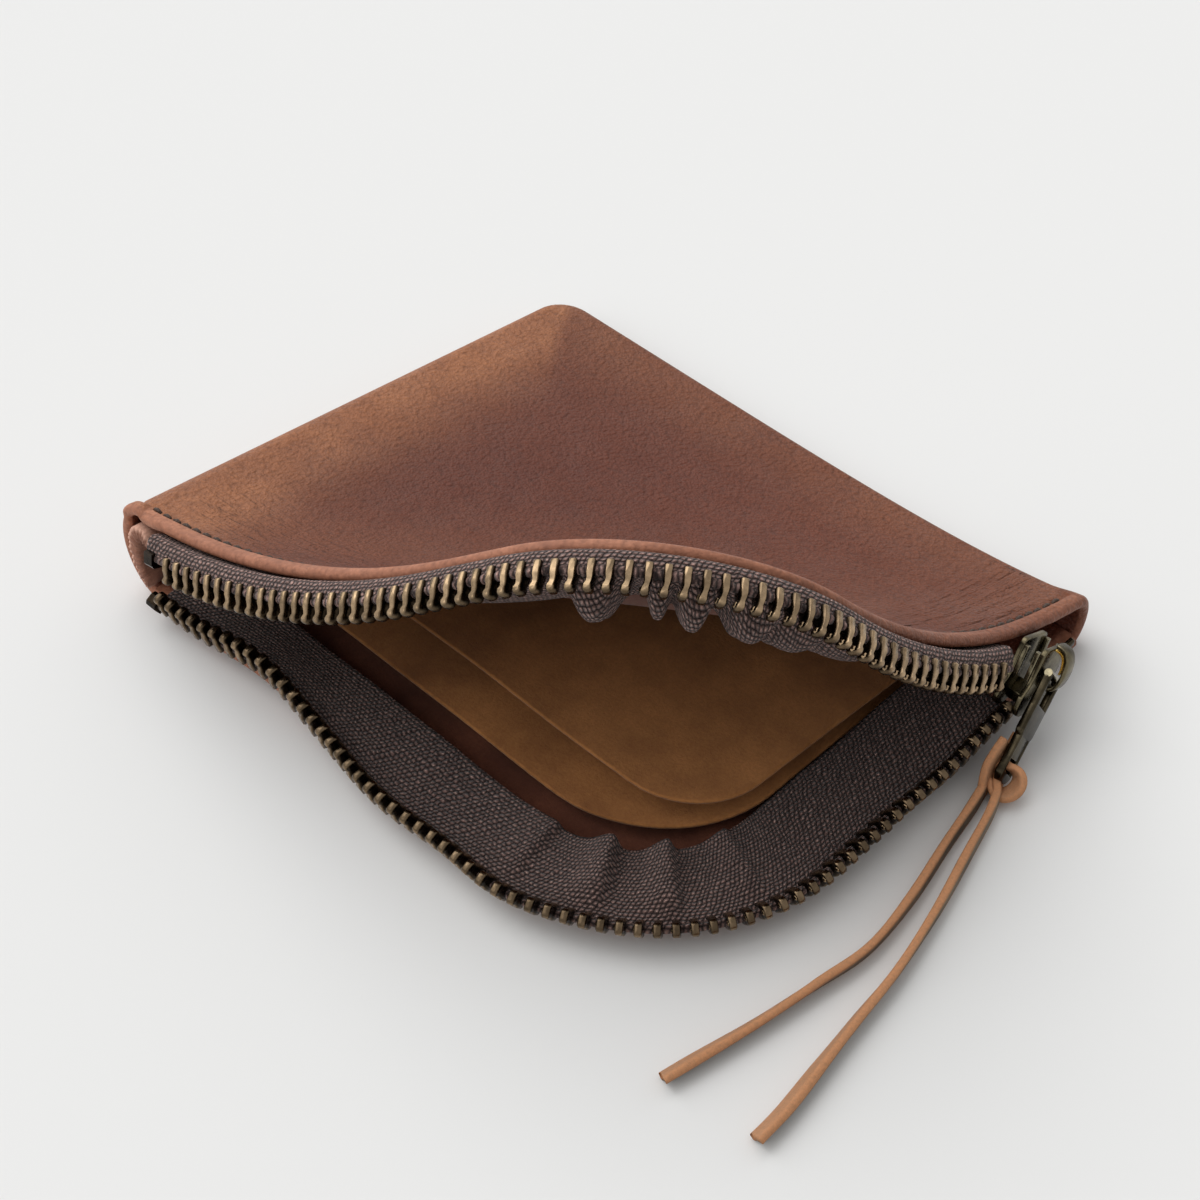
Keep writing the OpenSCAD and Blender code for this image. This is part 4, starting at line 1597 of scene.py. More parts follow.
    def gather(self, s: Array, o: Array) -> Array:
        """Depth of the gathers that hang under the flap along the upper tape's free edge.

        Args:
            s: Distance along the zip.
            o: Distance outside the leather's edge.

        Returns:
            Depths under the flat tape.
        """
        full = smooth(-o, 3.2, 8.5) * (1.0 - 0.3 * smooth(-o, 9.0, self.upper_in + 3.0))
        lumps = np.zeros_like(s)
        for place, wide, deep in self.upper_lumps:
            lumps = np.maximum(lumps, deep * np.exp(-np.abs((s - place) / wide) ** 3))
        slow = np.sin(s / 6.0 + 0.5) + 1.3
        return full * (lumps + 0.12 * slow)


class Scatter:
    """Geometry nodes that set copies of a small shape on points, each with its own turn."""

    def __init__(self) -> None:
        """Build the node tree with its named inputs."""
        tree = bpy.data.node_groups.new("row_of_copies", "GeometryNodeTree")
        self.inputs: dict[str, str] = {}
        kinds = {"Geometry": "Geometry", "Shape": "Object", "Finish": "Material", "Seed": "Int"}
        for name, kind in kinds.items():
            made = tree.interface.new_socket(name, in_out="INPUT", socket_type="NodeSocket" + kind)
            self.inputs[name] = made.identifier
        tree.interface.new_socket("Geometry", in_out="OUTPUT", socket_type="NodeSocketGeometry")
        add = tree.nodes.new
        given, result = add("NodeGroupInput"), add("NodeGroupOutput")
        turn = add("GeometryNodeInputNamedAttribute")
        turn.data_type = "FLOAT_VECTOR"
        turn.inputs["Name"].default_value = "turn"
        euler = add("FunctionNodeEulerToRotation")
        info = add("GeometryNodeObjectInfo")
        put = add("GeometryNodeInstanceOnPoints")
        draw = add("FunctionNodeRandomValue")
        keep = add("GeometryNodeStoreNamedAttribute")
        keep.data_type, keep.domain = "FLOAT", "INSTANCE"
        keep.inputs["Name"].default_value = "patina"
        real, paint = add("GeometryNodeRealizeInstances"), add("GeometryNodeSetMaterial")
        wires = ((given, "Geometry", put, "Points"),
                 (given, "Shape", info, "Object"),
                 (info, "Geometry", put, "Instance"),
                 (turn, "Attribute", euler, "Euler"),
                 (euler, "Rotation", put, "Rotation"),
                 (given, "Seed", draw, "Seed"),
                 (put, "Instances", keep, "Geometry"),
                 (draw, 1, keep, "Value"),
                 (keep, "Geometry", real, "Geometry"),
                 (real, "Geometry", paint, "Geometry"),
                 (given, "Finish", paint, "Material"),
                 (paint, "Geometry", result, "Geometry"))
        for source, out, target, into in wires:
            tree.links.new(source.outputs[out], target.inputs[into])
        self.tree = tree

    def set_row(self, name: str, places: Array, axes: Array, shape: Piece,
                finish: Material, seed: int) -> Piece:
        """Row of copies as one plain mesh.

        Args:
            name: Name of the piece.
            places: Points in metres.
            axes: For each point a 3 by 3 array whose columns are the copy's directions.
            shape: The shape to copy.
            finish: Material of the copies.
            seed: Seed of the patina.

        Returns:
            The row's object.
        """
        mesh = bpy.data.meshes.new(name)
        mesh.from_pydata(places.tolist(), [], [])
        turns = np.array([Matrix(m.tolist()).to_euler() for m in axes])
        mesh.attributes.new("turn", "FLOAT_VECTOR", "POINT").data.foreach_set("vector", turns.ravel())
        row = shown(name, mesh)
        work = row.modifiers.new("row", "NODES")
        work.node_group = self.tree
        for given, value in (("Shape", shape), ("Finish", finish), ("Seed", seed)):
            work[self.inputs[given]] = value
        bpy.context.view_layer.update()
        graph = bpy.context.evaluated_depsgraph_get()
        plain = bpy.data.meshes.new_from_object(row.evaluated_get(graph))
        row.modifiers.remove(work)
        row.data = plain
        plain.name = name
        bpy.data.meshes.remove(mesh)
        return row


def rub_edges(mesh: bpy.types.Mesh) -> None:
    """Give a mesh a value that is high on its outward edges, for rubbed metal.

    Args:
        mesh: The mesh.
    """
    count = len(mesh.vertices)
    pts, nor = np.empty(count * 3), np.empty(count * 3)
    mesh.vertices.foreach_get("co", pts)
    mesh.vertex_normals.foreach_get("vector", nor)
    pts, nor = pts.reshape(-1, 3), nor.reshape(-1, 3)
    ends = np.empty(len(mesh.edges) * 2, dtype=np.int64)
    mesh.edges.foreach_get("vertices", ends)
    ends = ends.reshape(-1, 2)
    total, number = np.zeros(count), np.zeros(count)
    for a, b in ((0, 1), (1, 0)):
        run = unit(pts[ends[:, b]] - pts[ends[:, a]])
        np.add.at(total, ends[:, a], -np.sum(run * nor[ends[:, a]], 1))
        np.add.at(number, ends[:, a], 1)
    value = smooth(total / np.maximum(number, 1), *RUB_SHARPNESS)
    mesh.attributes.new("rub", "FLOAT", "POINT").data.foreach_set("value", value)


def box(x0: float, x1: float, y0: float, y1: float) -> list[list[float]]:
    """Outline of a rectangle."""
    return [[x0, y0], [x1, y0], [x1, y1], [x0, y1]]


class Metalwork:
    """Metal shape built of bevelled prisms in its own directions, in millimetres."""

    def __init__(self, frame_of: Matrix) -> None:
        """Start an empty shape with the place of its directions from the folded corner."""
        self.frame_of = frame_of
        self.mesh = bmesh.new()

    def prism(self, outline: Sequence[Sequence[float]], low: float, high: float, bevel: float,
              steps: int = 2, turn: Optional[Matrix] = None) -> None:
        """Add a bevelled prism.

        Args:
            outline: Corners of its outline, in order.
            low: Height of its lower face.
            high: Height of its upper face.
            bevel: Width of the bevel on its edges.
            steps: Number of bevel steps.
            turn: Turn of the prism in the shape's directions.
        """
        part = bmesh.new()
        bottom = [part.verts.new((x, y, low)) for x, y in outline]
        top = [part.verts.new((x, y, high)) for x, y in outline]
        part.faces.new(bottom[::-1])
        part.faces.new(top)
        for i, vert in enumerate(bottom):
            j = (i + 1) % len(bottom)
            part.faces.new((vert, bottom[j], top[j], top[i]))
        bmesh.ops.recalc_face_normals(part, faces=part.faces[:])
        sharp = [e for e in part.edges if e.calc_face_angle(0.0) > math.radians(24.0)]
        bmesh.ops.bevel(part, geom=sharp, offset=bevel, segments=steps, profile=0.5, affect="EDGES",
                        clamp_overlap=True)
        self.take(part, turn)

    def take(self, part: bmesh.types.BMesh, turn: Optional[Matrix]) -> None:
        """Add a finished part, turned into the shape's directions.

        Args:
            part: The part, which is used up.
            turn: Its turn, if any.
        """
        if turn is not None:
            part.transform(turn)
        keep = bpy.data.meshes.new("part")
        part.to_mesh(keep)
        part.free()
        self.mesh.from_mesh(keep)
        bpy.data.meshes.remove(keep)

    def build(self, name: str, finish: Material, body: Body, slot: Slot, node: str) -> Piece:
        """Piece of the shape, riding on a body.

        Args:
            name: Name of the piece.
            finish: Its material.
            body: Body that it rides on.
            slot: Material slot of the record.
            node: Frame node that it replaces.

        Returns:
            The finished piece.
        """
        shift = Matrix.Scale(MM, 4) @ Matrix.Translation(Vector((-CORNER).tolist())) @ self.frame_of
        self.mesh.transform(shift)
        mesh = bpy.data.meshes.new(name)
        self.mesh.to_mesh(mesh)
        self.mesh.free()
        mesh.materials.append(finish)
        mesh.polygons.foreach_set("use_smooth", [True] * len(mesh.polygons))
        mesh.set_sharp_from_angle(angle=METAL_CREASE)
        rub_edges(mesh)
        piece = shown(name, mesh)
        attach(piece, body.value)
        return dress(piece, slot, node)


@dataclass
class ZipTeeth:
    """Two rows of teeth clamped on the corded edges, half a pitch out of step."""

    form: PouchForm
    tapes: ZipTapes
    finish: Material
    scatter: Scatter
    pitch: float = 2.5
    thick: float = 1.15
    length: float = 4.4
    height: float = 2.4
    profile: tuple = ((-1.3, 0.8, 0.8, 0.0), (-1.1, 0.98, 0.98, 0.0), (0.7, 1.0, 1.0, 0.0),
                      (1.3, 0.86, 0.84, 0.0), (1.75, 0.76, 0.8, -0.1), (2.25, 0.9, 1.0, -0.24),
                      (2.65, 0.84, 1.0, -0.28), (2.95, 0.62, 0.84, -0.27))

    def tooth(self) -> Piece:
        """One tooth: clamp legs, waist, rounded head with a nib, in metres.

        Returns:
            The shape to copy.
        """
        high, wide, tip = self.height / 2, self.thick / 2, self.length - 1.3
        rings, rub = [], []
        for x, tall, thick, lean in (*self.profile, (tip, 0.34, 0.5, -0.26)):
            y, z = wide * thick, high * tall
            side = np.array([(y, 0.74 * z), (0.66 * y, z), (-0.66 * y, z), (-y, 0.74 * z)])
            ring = np.concatenate([side, -side])
            rings.append(np.stack([np.full(8, x), ring[:, 0] + lean, ring[:, 1]], -1))
            rub.append([0.05, 0.9, 0.9, 0.05] * 2 if x < 2.8 else [0.3] * 8)
        body = Surface()
        body.ring_loft(np.array(rings), rub=np.array(rub))
        angle = np.radians(np.arange(0, 360, 60))
        nib = [np.stack([tip - 0.8 + r * np.cos(angle), np.full(6, -y), r * np.sin(angle)], -1)
               for y, r in ((0.55 * wide, 0.6), (1.35 * wide, 0.52), (1.72 * wide, 0.24))]
        body.ring_loft(np.array(nib), rub=np.array([[0.2] * 6, [0.9] * 6, [1.0] * 6]))
        body.points = [p * MM for p in body.points]
        shape = body.build("tooth", (self.finish,), in_metres=True)
        shape.data.set_sharp_from_angle(angle=math.radians(50.0))
        return shape

    def places(self, first: float, more: float) -> Array:
        """Distances of a row's teeth along the zip, from the first number to the row's extra length."""
        return self.pitch * np.arange(first, math.floor((self.form.zip_len + more) / self.pitch))

    def lower_edge(self, s: Array) -> Array:
        """Points of the lower corded edge."""
        return self.tapes.lower_at(s, *self.tapes.lower_edge(s))

    def upper_edge(self, s: Array, down: float = 0.0) -> Array:
        """Points of the upper corded edge, which hangs from the flap, or under it."""
        plan = self.form.zip_at(s, self.tapes.upper_out)
        return self.form.flap_at(plan, -self.tapes.upper_depth() - down)

    def build(self) -> list[Piece]:
        """Both rows.

        Returns:
            The lower and the upper row.
        """
        tooth = self.tooth()
        s = self.places(2.0, self.tapes.lower_more)
        f, head = self.tapes.roll_at(s), self.form.zip_turn(s) - math.pi / 2
        lean = np.stack([np.cos(f) * np.cos(head), np.cos(f) * np.sin(head), np.sin(f)], -1)
        axes = row_axes(self.lower_edge, s, lean)
        low = self.scatter.set_row("teeth_lower_row", *axes, tooth, self.finish, 11)
        s = self.places(3.5, self.tapes.upper_more)
        axes = row_axes(self.upper_edge, s, self.upper_edge(s, 1.0) - self.upper_edge(s))
        high = self.scatter.set_row("teeth_upper_row", *axes, tooth, self.finish, 12)
        bpy.data.objects.remove(tooth)
        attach(low, Body.POUCH.value)
        self.form.bend_with_flap(high)
        return [dress(low, Slot.TEETH, "teeth_lower"), dress(high, Slot.TEETH, "teeth_upper")]


@dataclass
class Stitching:
    """Topstitching along the lip of the front and under the edge of the back panel."""

    form: PouchForm
    finish: Material
    scatter: Scatter
    pitch: float = 2.4
    length: float = 1.7
    run: tuple = (4.2, 188.0)
    sink: float = 0.12
    under: float = 0.38

    def stitch(self) -> Piece:
        """One stitch: a short rounded thread that dips at both ends, in metres.

        Returns:
            The shape to copy.
        """
        body = Surface()
        rings = []
        angle = np.radians(np.arange(0, 360, 60))
        for part, r, z in ((-0.5, 0.14, -0.26), (-0.42, 0.32, -0.02), (0.0, 0.4, 0.1), (0.42, 0.32, -0.02),
                           (0.5, 0.14, -0.26)):
            rings.append(np.stack([np.full(6, part * self.length), 1.05 * r * np.cos(angle),
                                   z + 0.85 * r * np.sin(angle)], -1))
        body.ring_loft(np.array(rings), flip=True)
        body.points = [p * MM for p in body.points]
        return body.build("stitch", (self.finish,), in_metres=True)

    def build(self) -> list[Piece]:
        """Both lines of stitches.

        Returns:
            The front line and the back line.
        """
        form = self.form
        shape = self.stitch()
        s = np.arange(*self.run, self.pitch)

        def front(place: Array, inset: float) -> Array:
            """Point of the front skin."""
            m = form.mouth_at(place, inset)
            return form.lay(form.along(m), form.across(m))

        def sewn(name: str, p: Array, x: Array, z: Array, seed: int) -> Piece:
            """Row of stitches from their places, runs and upward directions."""
            axes = np.stack([x, np.cross(z, x), z], -1)
            return self.scatter.set_row(name, metres(p), axes, shape, self.finish, seed)

        x = unit(front(s + NUDGE, SEW_IN) - front(s - NUDGE, SEW_IN))
        z = unit(np.cross(front(s, SEW_IN + NUDGE) - front(s, SEW_IN - NUDGE), x))
        z = np.where(z[:, 2:] < 0, -z, z)
        rows = [sewn("stitches_front", front(s, SEW_IN) - self.sink * z, x, z, 21)]
        out, lift = form.sway(s - form.chain_x0, np.full_like(s, SEW_IN))
        m = form.mouth_at(s, SEW_IN) - out[:, None] * [0.0, 1.0]
        p = raised(m, self.under + lift)
        x = form.mouth_at(s + NUDGE, SEW_IN) - form.mouth_at(s - NUDGE, SEW_IN)
        x = unit(raised(x, np.zeros(len(s))))
        rows.append(sewn("stitches_back", p, x, np.repeat(-UP[None], len(s), 0), 22))
        bpy.data.objects.remove(shape)
        form.bend_with_flap(rows[0])
        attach(rows[1], Body.POUCH.value)
        return [dress(row, Slot.LEATHER) for row in rows]


@dataclass
class Slider:
    """Zip slider: two plates with flanges and a dividing post, bail, lock spring and hinged pull."""

    finishes: Finishes
    place: tuple = (114.5, 75.0, 10.4)
    nose: float = 64.0
    length: float = 11.4
    nose_w: float = 9.0
    tail_w: float = 6.8
    plate: float = 0.9
    chain_h: float = 2.7
    bail_w: float = 2.2
    bail_l: float = 7.4
    bail_h: float = 3.0
    bail_t: float = 0.65
    window: float = 0.2
    pivot_r: float = 0.6
    pivot_back: float = 0.95
    pivot_up: float = 1.1
    pull_l: float = 17.0
    pull_w: float = 6.0
    pull_end_w: float = 4.8
    pull_t: float = 1.3
    pull_step: float = 10.0
    pull_lift: float = 8.0
    pull_yaw: float = 30.0
    clamp_y: tuple = (87.8, 89.5)

    @property
    def half(self) -> float:
        """Half thickness of the slider."""
        return self.chain_h / 2 + self.plate

    def on_slider(self) -> Matrix:
        """Place of the slider's own directions: nose along x, plates across z."""
        return (Matrix.Translation(self.place) @ Matrix.Rotation(math.radians(self.nose - 90.0), 4, "X")
                @ Matrix.Rotation(QUARTER, 4, "Y"))

    def on_pull(self) -> Matrix:
        """Place of the pull's own directions: pivot at the origin, pull along x."""
        pivot = (self.window - self.pivot_back - self.pivot_r, 0.0, self.half + self.pivot_up)
        return (self.on_slider() @ Matrix.Translation(pivot)
                @ Matrix.Rotation(math.radians(-self.pull_yaw), 4, "Z")
                @ Matrix.Rotation(math.radians(-self.pull_lift), 4, "Y"))

    def plate_outline(self) -> list[list[float]]:
        """Outline of a slider plate, narrow at the tail and lobed at the nose.

        Returns:
            Corners in order.
        """
        n, t, l = self.nose_w / 2, self.tail_w / 2, self.length / 2
        side = [[-l, t - 0.8], [-l + 0.25, t - 0.28], [-l + 0.8, t], [-0.4, t], [0.8, t + 0.35], [l - 3.6, n],
                [l - 1.5, n], [l - 0.5, n - 0.5], [l, n - 1.7], [l, 1.6], [l - 0.5, 0.75]]
        return [[x, -y] for x, y in side[::-1]][::-1] + side[::-1]

    def build(self) -> list[Piece]:
        """Slider, bail and spring on the slider, the stop behind it, and the pull on its own body."""
        return [self.shell(), self.bail(), self.spring(), self.end_clamp(), self.pull()]

    def shell(self) -> Piece:
        """Two plates with flanges along the tail and a dividing post at the nose.

        Returns:
            The finished piece.
        """
        l, t, h = self.length / 2, self.tail_w / 2, self.chain_h / 2
        work = Metalwork(self.on_slider())
        for low in (h, -self.half):
            work.prism(self.plate_outline(), low, low + self.plate, 0.22, 3)
        lip = h - 0.6
        for side in (-1, 1):
            for k in (-1, 1):
                y0 = side * (t - 0.4)
                low = k * (h - lip / 2) - lip / 2
                work.prism(box(-l + 0.8, -0.2, y0 - 0.4, y0 + 0.4), low, low + lip, 0.12)
        post = [[l - 4.4, 0.0], [l - 2.4, -1.2], [l - 0.8, -0.9], [l - 0.6, 0.0], [l - 0.8, 0.9],
                [l - 2.4, 1.2]]
        work.prism(post, -h, h, 0.1)
        return work.build("slider_shell", self.finishes.slider, Body.SLIDER, Slot.SLIDER, "slider_body")

    def standing(self, inset: float) -> Matrix:
        """Place of an arch that stands along the slider, inset from the bail's side."""
        middle = self.window + self.bail_t - self.bail_l / 2
        return (Matrix.Translation((middle, self.bail_w / 2 - inset, self.half))
                @ Matrix.Rotation(QUARTER, 4, "X"))

    def bail(self) -> Piece:
        """Arch that holds the pull.

        Returns:
            The finished piece.
        """
        work = Metalwork(self.on_slider())
        outer = self.arch(self.bail_l, self.bail_h)
        inner = self.arch(self.bail_l - 2 * self.bail_t, self.bail_h - self.bail_t)
        work.prism(outer + inner[::-1], 0.0, self.bail_w, 0.2, 3, self.standing(0.0))
        return work.build("slider_arch", self.finishes.slider, Body.SLIDER, Slot.SLIDER, "slider_bail")

    def spring(self) -> Piece:
        """Leaf of the lock under the front half of the bail.

        Returns:
            The finished piece.
        """
        work = Metalwork(self.on_slider())
        length, high = self.bail_l - 2 * self.bail_t - 0.4, self.bail_h - self.bail_t - 0.2
        outer, inner = ([p for p in line if p[0] <= 0.4]
                        for line in (self.arch(length, high), self.arch(length - 0.6, high - 0.3)))
        work.prism(outer + inner[::-1], 0.0, self.bail_w - 0.4, 0.06, 1, self.standing(0.2))
        return work.build("lock_leaf", self.finishes.spring, Body.SLIDER, Slot.SPRING, "lock_spring")

    def end_clamp(self) -> Piece:
        """Stop behind the slider: a back and two jaws closed over the zip's end.

        Returns:
            The finished piece.
        """
        work = Metalwork(Matrix.Identity(4))
        work.prism(box(112.05, 112.6, *self.clamp_y), 1.9, 5.0, 0.2, 3)
        for low in (1.9, 3.7):
            work.prism(box(112.1, 113.0, *self.clamp_y), low, low + 1.3, 0.35, 4)
        return work.build("end_clamp", self.finishes.pull, Body.POUCH, Slot.SLIDER, "bottom_stop")

    @staticmethod
    def arch(length: float, height: float) -> list[list[float]]:
        """Arch line of the bail."""
        angles = np.radians(180.0 * np.arange(0, 25) / 24)
        return [[-length / 2 * math.cos(f), height * max(math.sin(f), 0.0) ** 0.55] for f in angles]

    def pull(self) -> Piece:
        """Pull with its pivot bar, open eye, step and lace slot.

        Returns:
            The finished piece.
        """
        w, e, half = self.pull_w / 2, self.pull_end_w / 2, self.pull_t / 2
        arm, eye, slot0, slot1, gap = 0.95, 4.6, 13.3, 15.4, 1.7
        work = Metalwork(self.on_pull())
        for side in (-1, 1):
            work.prism(box(0.0, eye + 0.8, side * w, side * (w - arm)), -half, half, 0.4, 4)
        step = self.pull_step
        work.prism([[eye, -w], [step - 0.8, -w], [step, -e], [step, e], [step - 0.8, w], [eye, w]],
                   -half, half, 0.45, 4)
        for side in (-1, 1):
            work.prism(box(step - 0.6, slot1 + 0.6, side * e, side * gap), -half, half, 0.3, 4)
        work.prism(box(step - 0.6, slot0, -gap - 0.2, gap + 0.2), -half + 0.1, half - 0.1, 0.15)
        work.prism([[slot1, -e], [self.pull_l - 1.0, -e], [self.pull_l, -e + 1.0], [self.pull_l, e - 1.0],
                    [self.pull_l - 1.0, e], [slot1, e]], -half, half, 0.45, 4)
        bar = bmesh.new()
        bmesh.ops.create_cone(bar, cap_ends=True, segments=20, radius1=self.pivot_r, radius2=self.pivot_r,
                              depth=self.pull_w)
        work.take(bar, Matrix.Rotation(QUARTER, 4, "X"))
        return work.build("pull_bar", self.finishes.pull, Body.PULL, Slot.SLIDER, "pull_tab")


@dataclass
class Lace:
    """Flat lace hitched through the pull; its two tails lie on edge and lean over towards their ends."""

    finish: Material
    on_pull: Matrix
    width: float = 3.0
    thick: float = 1.2
    lift: float = 0.1
    lean: float = math.radians(42.0)
    ring_at: float = 16.2
    ring_r: float = 1.86
    strand_a: tuple = ((11.6, -1.9, -1.35), (13.6, -2.3, -1.5), (16.0, -2.0, -1.7), (18.4, -1.0, -1.4))
    strand_b: tuple = ((9.4, 2.2, -1.3), (11.6, 2.3, -1.4), (14.0, 1.6, -1.2), (17.0, 0.5, -0.3))
    start: tuple = (112.0, 75.0)
    tail_a: tuple = ((7.2, -15.8), (8.2, -20.0), (9.7, -27.7), (11.9, -38.2), (13.0, -48.5), (11.6, -57.9),
                     (9.9, -67.9), (7.7, -78.0), (6.7, -82.6))
    tail_b: tuple = ((9.4, -15.4), (10.9, -19.5), (12.8, -26.4), (15.7, -37.2), (18.0, -48.4), (19.1, -58.3),
                     (20.1, -66.7), (21.1, -74.8), (21.3, -80.8))
    rings: int = 120

    @staticmethod
    def smooth_line(v: Array, steps: int) -> Array:
        """Smooth line through points.

        Args:
            v: The points.
            steps: Number of steps along the line.

        Returns:
            Points of the line.
        """
        n = len(v) - 1
        u = np.linspace(0.0, 1.0, steps + 1) * n
        k = np.minimum(np.floor(u).astype(int), n - 1)
        t = (u - k)[:, None]
        p0, p1, p2, p3 = v[np.maximum(k - 1, 0)], v[k], v[k + 1], v[np.minimum(k + 2, n)]
        return 0.5 * (2 * p1 + (p2 - p0) * t + (2 * p0 - 5 * p1 + 4 * p2 - p3) * t ** 2
                      + (3 * p1 - p0 - 3 * p2 + p3) * t ** 3)

    def section(self) -> tuple[Array, Array]:
        """Rounded section of the lace and its share of pale edge colour.

        Returns:
            Points across and up, and for each point its share of pale colour: 1 on the cut edges, about three
            quarters on one face, none on the other.
        """
        a, b, r = self.thick / 2, self.width / 2, 0.22
        rise = (-b + r, -b / 2, 0.0, b / 2, b - r)
        pts = [*((-a, y) for y in rise), (-a + r, b), (0.0, b + 0.03), (a - r, b),
               *((a, y) for y in rise[::-1]), (a - r, -b), (0.0, -b), (-a + r, -b)]
        # One face is nearly as pale as the cut edges; the other face keeps the dark face colour.
        cut = [0.75, 0.75, 0.7, 0.75, 0.85, 1, 1, 1, 0.5, 0, 0, 0, 0.5, 1, 1, 1]
        return np.array(pts), np.array(cut, float)

    def tail(self, name: str, points: Sequence[Sequence[float]], node: str, seed: int) -> Piece:
        """One tail standing on its edge, with a slanted cut end.

        Args:
            name: Name of the piece.
            points: Route of the tail.
            node: Frame node that it stands for.
            seed: Seed of its unevenness.

        Returns:
            The finished piece.
        """
        line = self.smooth_line(np.array(points) + np.array(self.start), self.rings)
        run = unit(np.gradient(line, axis=0))
        side = np.stack([-run[:, 1], run[:, 0]], -1)
        shape, cut = self.section()
        draw = np.random.default_rng(seed)
        wave = np.cumsum(draw.normal(0.0, 0.02, self.rings + 1))
        wave = np.convolve(wave - wave.mean(), np.ones(9) / 9, mode="same")
        slim = 1.0 + 0.06 * np.sin(np.arange(self.rings + 1) / 5.0 + seed)
        lean = self.lean * smooth(np.linspace(0.0, 1.0, len(line)), 0.2, 1.0)
        across, up = shape[None, :, 0] * slim[:, None], shape[None, :, 1]
        up = np.where(up > 0, up + wave[:, None] * 0.5, up)
        c, n = np.cos(lean)[:, None], np.sin(lean)[:, None]
        middle = self.lift + (self.width * c + self.thick * n) / 2
        plan = line[:, None] + side[:, None] * (across * c + up * n)[..., None]
        z = middle + up * c - across * n
        slant = np.zeros((self.rings + 1, 1))
        slant[-1] = 0.9
        plan = plan + run[:, None] * (slant * shape[None, :, 1] / self.width)[..., None]
        rings = raised(plan, z)
        body = Surface()
        body.ring_loft(rings, cut=np.repeat(cut[None], len(rings), 0))
        piece = body.build(name, (self.finish,))
        path = metres(raised(line, middle[:, 0]))
        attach(piece, Body.PULL.value)
        return dress(piece, Slot.LACE, node)

    def hitch(self) -> Piece:
        """Turn of the lace round the pull's end bar, and the strands that run from it to the tails.

        Returns:
            The finished piece.
        """
        turn = np.array(self.on_pull.to_3x3())
        pivot = np.array(self.on_pull.translation)
        shape, cut = self.section()
        cut = np.maximum(cut, 0.7)
        body = Surface()

        def strap(line: Array, out: Array, wide: Array, closed: bool = False) -> None:
            """Flat lace along a line.

            Args:
                line: Points of the line.
                out: Directions of its thickness.
                wide: Directions of its width.
                closed: Whether the line is a ring.
            """
            rings = line[:, None] + shape[None, :, :1] * out[:, None] + shape[None, :, 1:] * wide[:, None]
            pale = np.repeat(cut[None], len(rings), 0)
            if not closed:
                body.ring_loft(rings, cut=pale)
                return
            ids = body.add(rings, cut=pale)
            ids = np.concatenate([ids, ids[:1]])
            body.quads(np.concatenate([ids, ids[:, :1]], axis=1))

        f = np.radians(np.arange(0, 360, 7.5))
        ray = np.stack([np.cos(f), np.zeros_like(f), np.sin(f)], -1)
        lean = 0.95 * np.maximum(np.cos(f - 1.2), 0.0)[:, None] ** 1.2
        wide = unit(np.array([0.0, 1.0, 0.0]) * np.cos(lean) - ray * np.sin(lean))
        out = unit(np.cross(wide, np.cross(ray, [0.0, 1.0, 0.0])))
        reach = self.width / 2 * np.sin(lean) + self.thick / 2 * (np.cos(lean) - 1.0)
        middle = np.array([self.ring_at, 0.0, 0.0]) + ray * (self.ring_r + reach)
        strap(pivot + middle @ turn.T, out @ turn.T, wide @ turn.T, closed=True)
        for points, tail in ((self.strand_a, self.tail_a), (self.strand_b, self.tail_b)):
            plan = np.array(tail[:2]) + np.array(self.start)
            floor = raised(plan, np.full(2, self.lift + self.width / 2))
            v = np.concatenate([pivot + np.array(points) @ turn.T, floor])
            line = self.smooth_line(v, 40)[:-4]
            part = smooth(np.arange(len(line)), len(line) * 0.5, len(line) - 1)[:, None]
            wide = unit((1.0 - part) * turn[:, 1] - part * UP)
            run = unit(np.gradient(line, axis=0))
            out = unit(np.cross(run, wide))
            strap(line, out, np.cross(out, run))
        piece = body.build("lace_loop", (self.finish,))
        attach(piece, Body.PULL.value)
        return dress(piece, Slot.LACE, "lace_hitch")

    def build(self) -> list[Piece]:
        """Both tails of the lace and its hitch.

        Returns:
            The finished pieces.
        """
        return [self.tail("lace_tail_inner", self.tail_a, "lace_tail_a", 31),
                self.tail("lace_tail_outer", self.tail_b, "lace_tail_b", 32),
                self.hitch()]


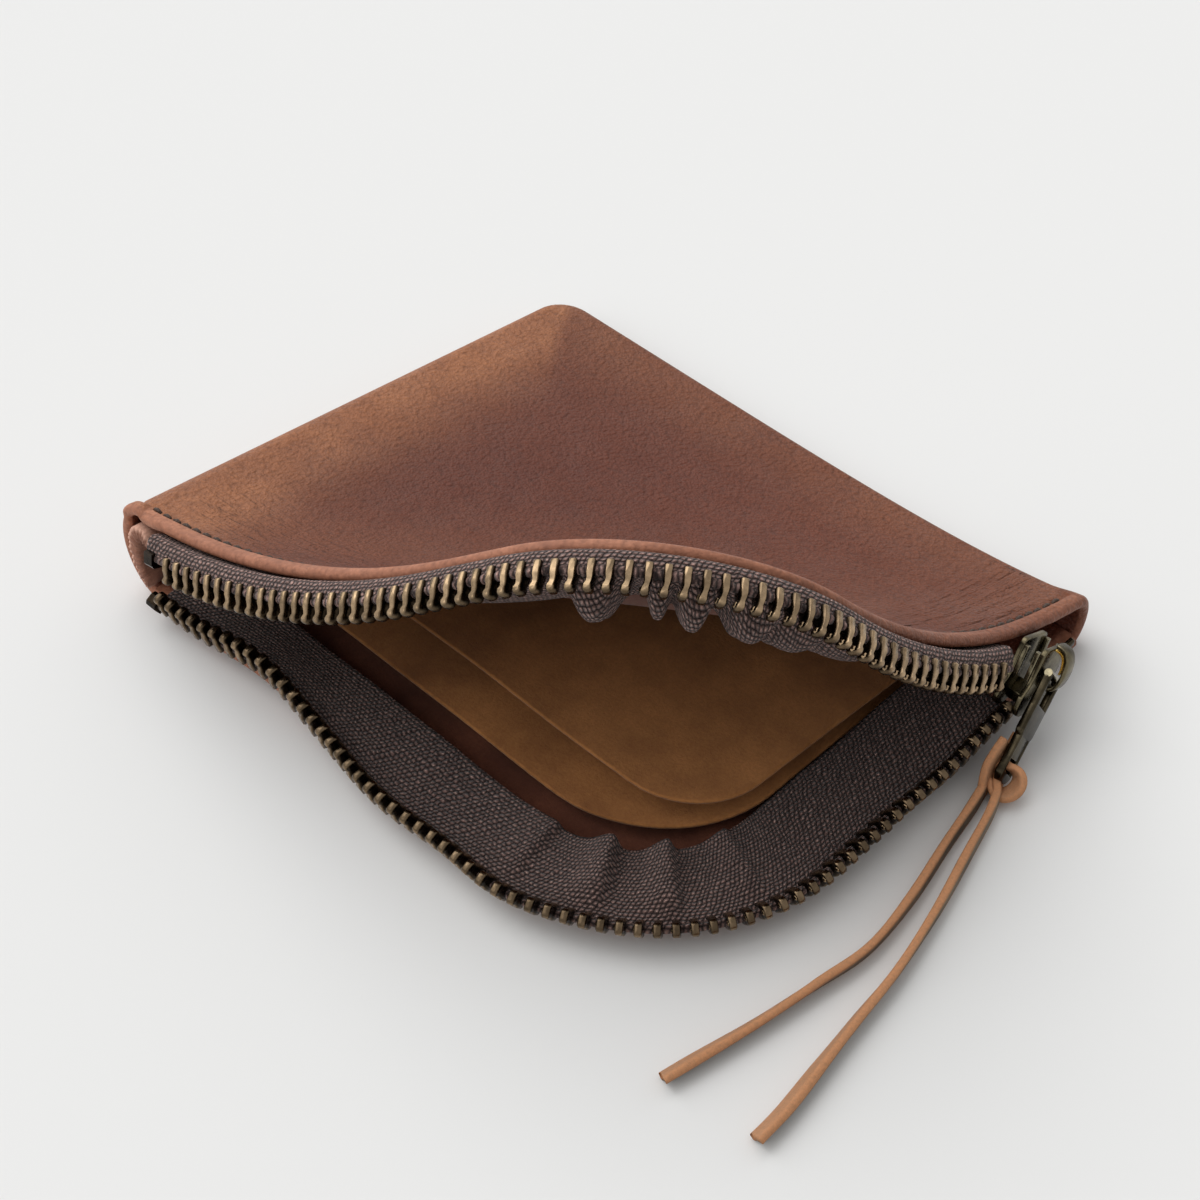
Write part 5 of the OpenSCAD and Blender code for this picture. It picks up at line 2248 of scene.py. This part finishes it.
@dataclass
class Studio:
    """Camera at the photograph's place, pale table and soft light."""

    focal: float = 69.0
    eye: tuple = (0.16741, -0.17447, 0.26191)
    target: tuple = (-0.00345, 0.00185, 0.0)
    sun_from: tuple = (-0.62, 0.1, 0.78)
    fill_from: tuple = (-0.42, -0.7, 0.72)
    window: tuple = (-0.8, 0.3, 0.52)
    key_level: float = 1.45
    fill_level: float = 0.75
    light_width: float = 64.0
    window_range: tuple = (-0.8, 0.8)
    room_level: tuple = (0.17, 0.76)
    room_seen: float = 0.8
    sensor: float = 36.0
    nearest: float = 0.01
    table_half: float = 4.0

    def build(self) -> None:
        """Set up the camera, the table and the lights."""
        scene = bpy.context.scene
        scene.view_settings.view_transform = "Standard"
        lens = bpy.data.cameras.new("camera")
        lens.lens = self.focal
        lens.sensor_width = self.sensor
        lens.clip_start = self.nearest
        view = shown("camera", lens)
        look = Vector(self.target) - Vector(self.eye)
        view.location = self.eye
        view.rotation_euler = look.to_track_quat("-Z", "Y").to_euler()
        scene.camera = view
        table = Surface()
        ends = (-self.table_half, self.table_half)
        table.quads(table.add(np.array([[[x, y, 0.0] for y in ends] for x in ends])))
        floor = table.build("table", (FloorFinish().make(),), in_metres=True)
        self.light("key", self.key_level, self.sun_from)
        self.light("fill", self.fill_level, self.fill_from)
        self.room()

    def room(self) -> None:
        """White room, brighter on the window side than on the other, and evenly pale where it is seen."""
        sh = Shader(bpy.data.worlds.new("room"), "Background", "Generated")
        towards = sh.node("ShaderNodeVectorMath", {0: sh.place, 1: self.window}, operation="DOT_PRODUCT")
        strength = sh.level(towards.outputs["Value"], *self.window_range, *self.room_level)
        seen = sh.node("ShaderNodeLightPath")
        for ray in ("Is Camera Ray", "Is Glossy Ray", "Is Transmission Ray"):
            strength = sh.math("MAXIMUM", sh.times(seen.outputs[ray], self.room_seen), strength)
        sh.set(Strength=strength, Color=(1.0, 1.0, 1.0, 1.0))
        bpy.context.scene.world = sh.owner

    def light(self, name: str, strength: float, source: Sequence[float]) -> None:
        """Wide soft sun.

        Args:
            name: Name of the light.
            strength: Strength of the light.
            source: Direction towards the light.
        """
        lamp = bpy.data.lights.new(name, "SUN")
        lamp.energy = strength
        lamp.angle = math.radians(self.light_width)
        shown(name, lamp).rotation_euler = Vector(source).to_track_quat("Z", "Y").to_euler()


def main() -> None:
    """Build the pouch piece by piece and report each."""
    logging.basicConfig(level=logging.INFO, format="%(name)s %(message)s")
    Studio().build()
    form = PouchForm()
    finishes = Finishes()
    slider = Slider(finishes)
    pieces = Lace(finishes.lace, slider.on_pull()).build()
    pieces.append(FrontLeather(form, finishes).build())
    pieces.append(FoldHem(form, finishes.cut).build())
    pieces.append(BackLeather(form, finishes).build())
    pieces.append(Divider(form, finishes.suede, "divider_lower", 14.6, 1.4, 4.0, free_r=22.0).build())
    pieces.append(Divider(form, finishes.suede, "divider_upper", 20.0, 2.4, 9.8).build())
    tapes = ZipTapes(form, finishes.tape)
    pieces += [tapes.lower(), tapes.upper()]
    scatter = Scatter()
    pieces += ZipTeeth(form, tapes, finishes.teeth, scatter).build()
    pieces += Stitching(form, finishes.thread, scatter).build()
    pieces += slider.build()
    for piece in pieces:
        LOG.info("%s: %d faces", piece.name, len(piece.data.polygons))
    for name in ("stop_lower", "stop_upper"):
        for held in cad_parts[name].material_slots:
            held.link = "OBJECT"
            held.material = finishes.teeth


if __name__ == "__main__":
    main()
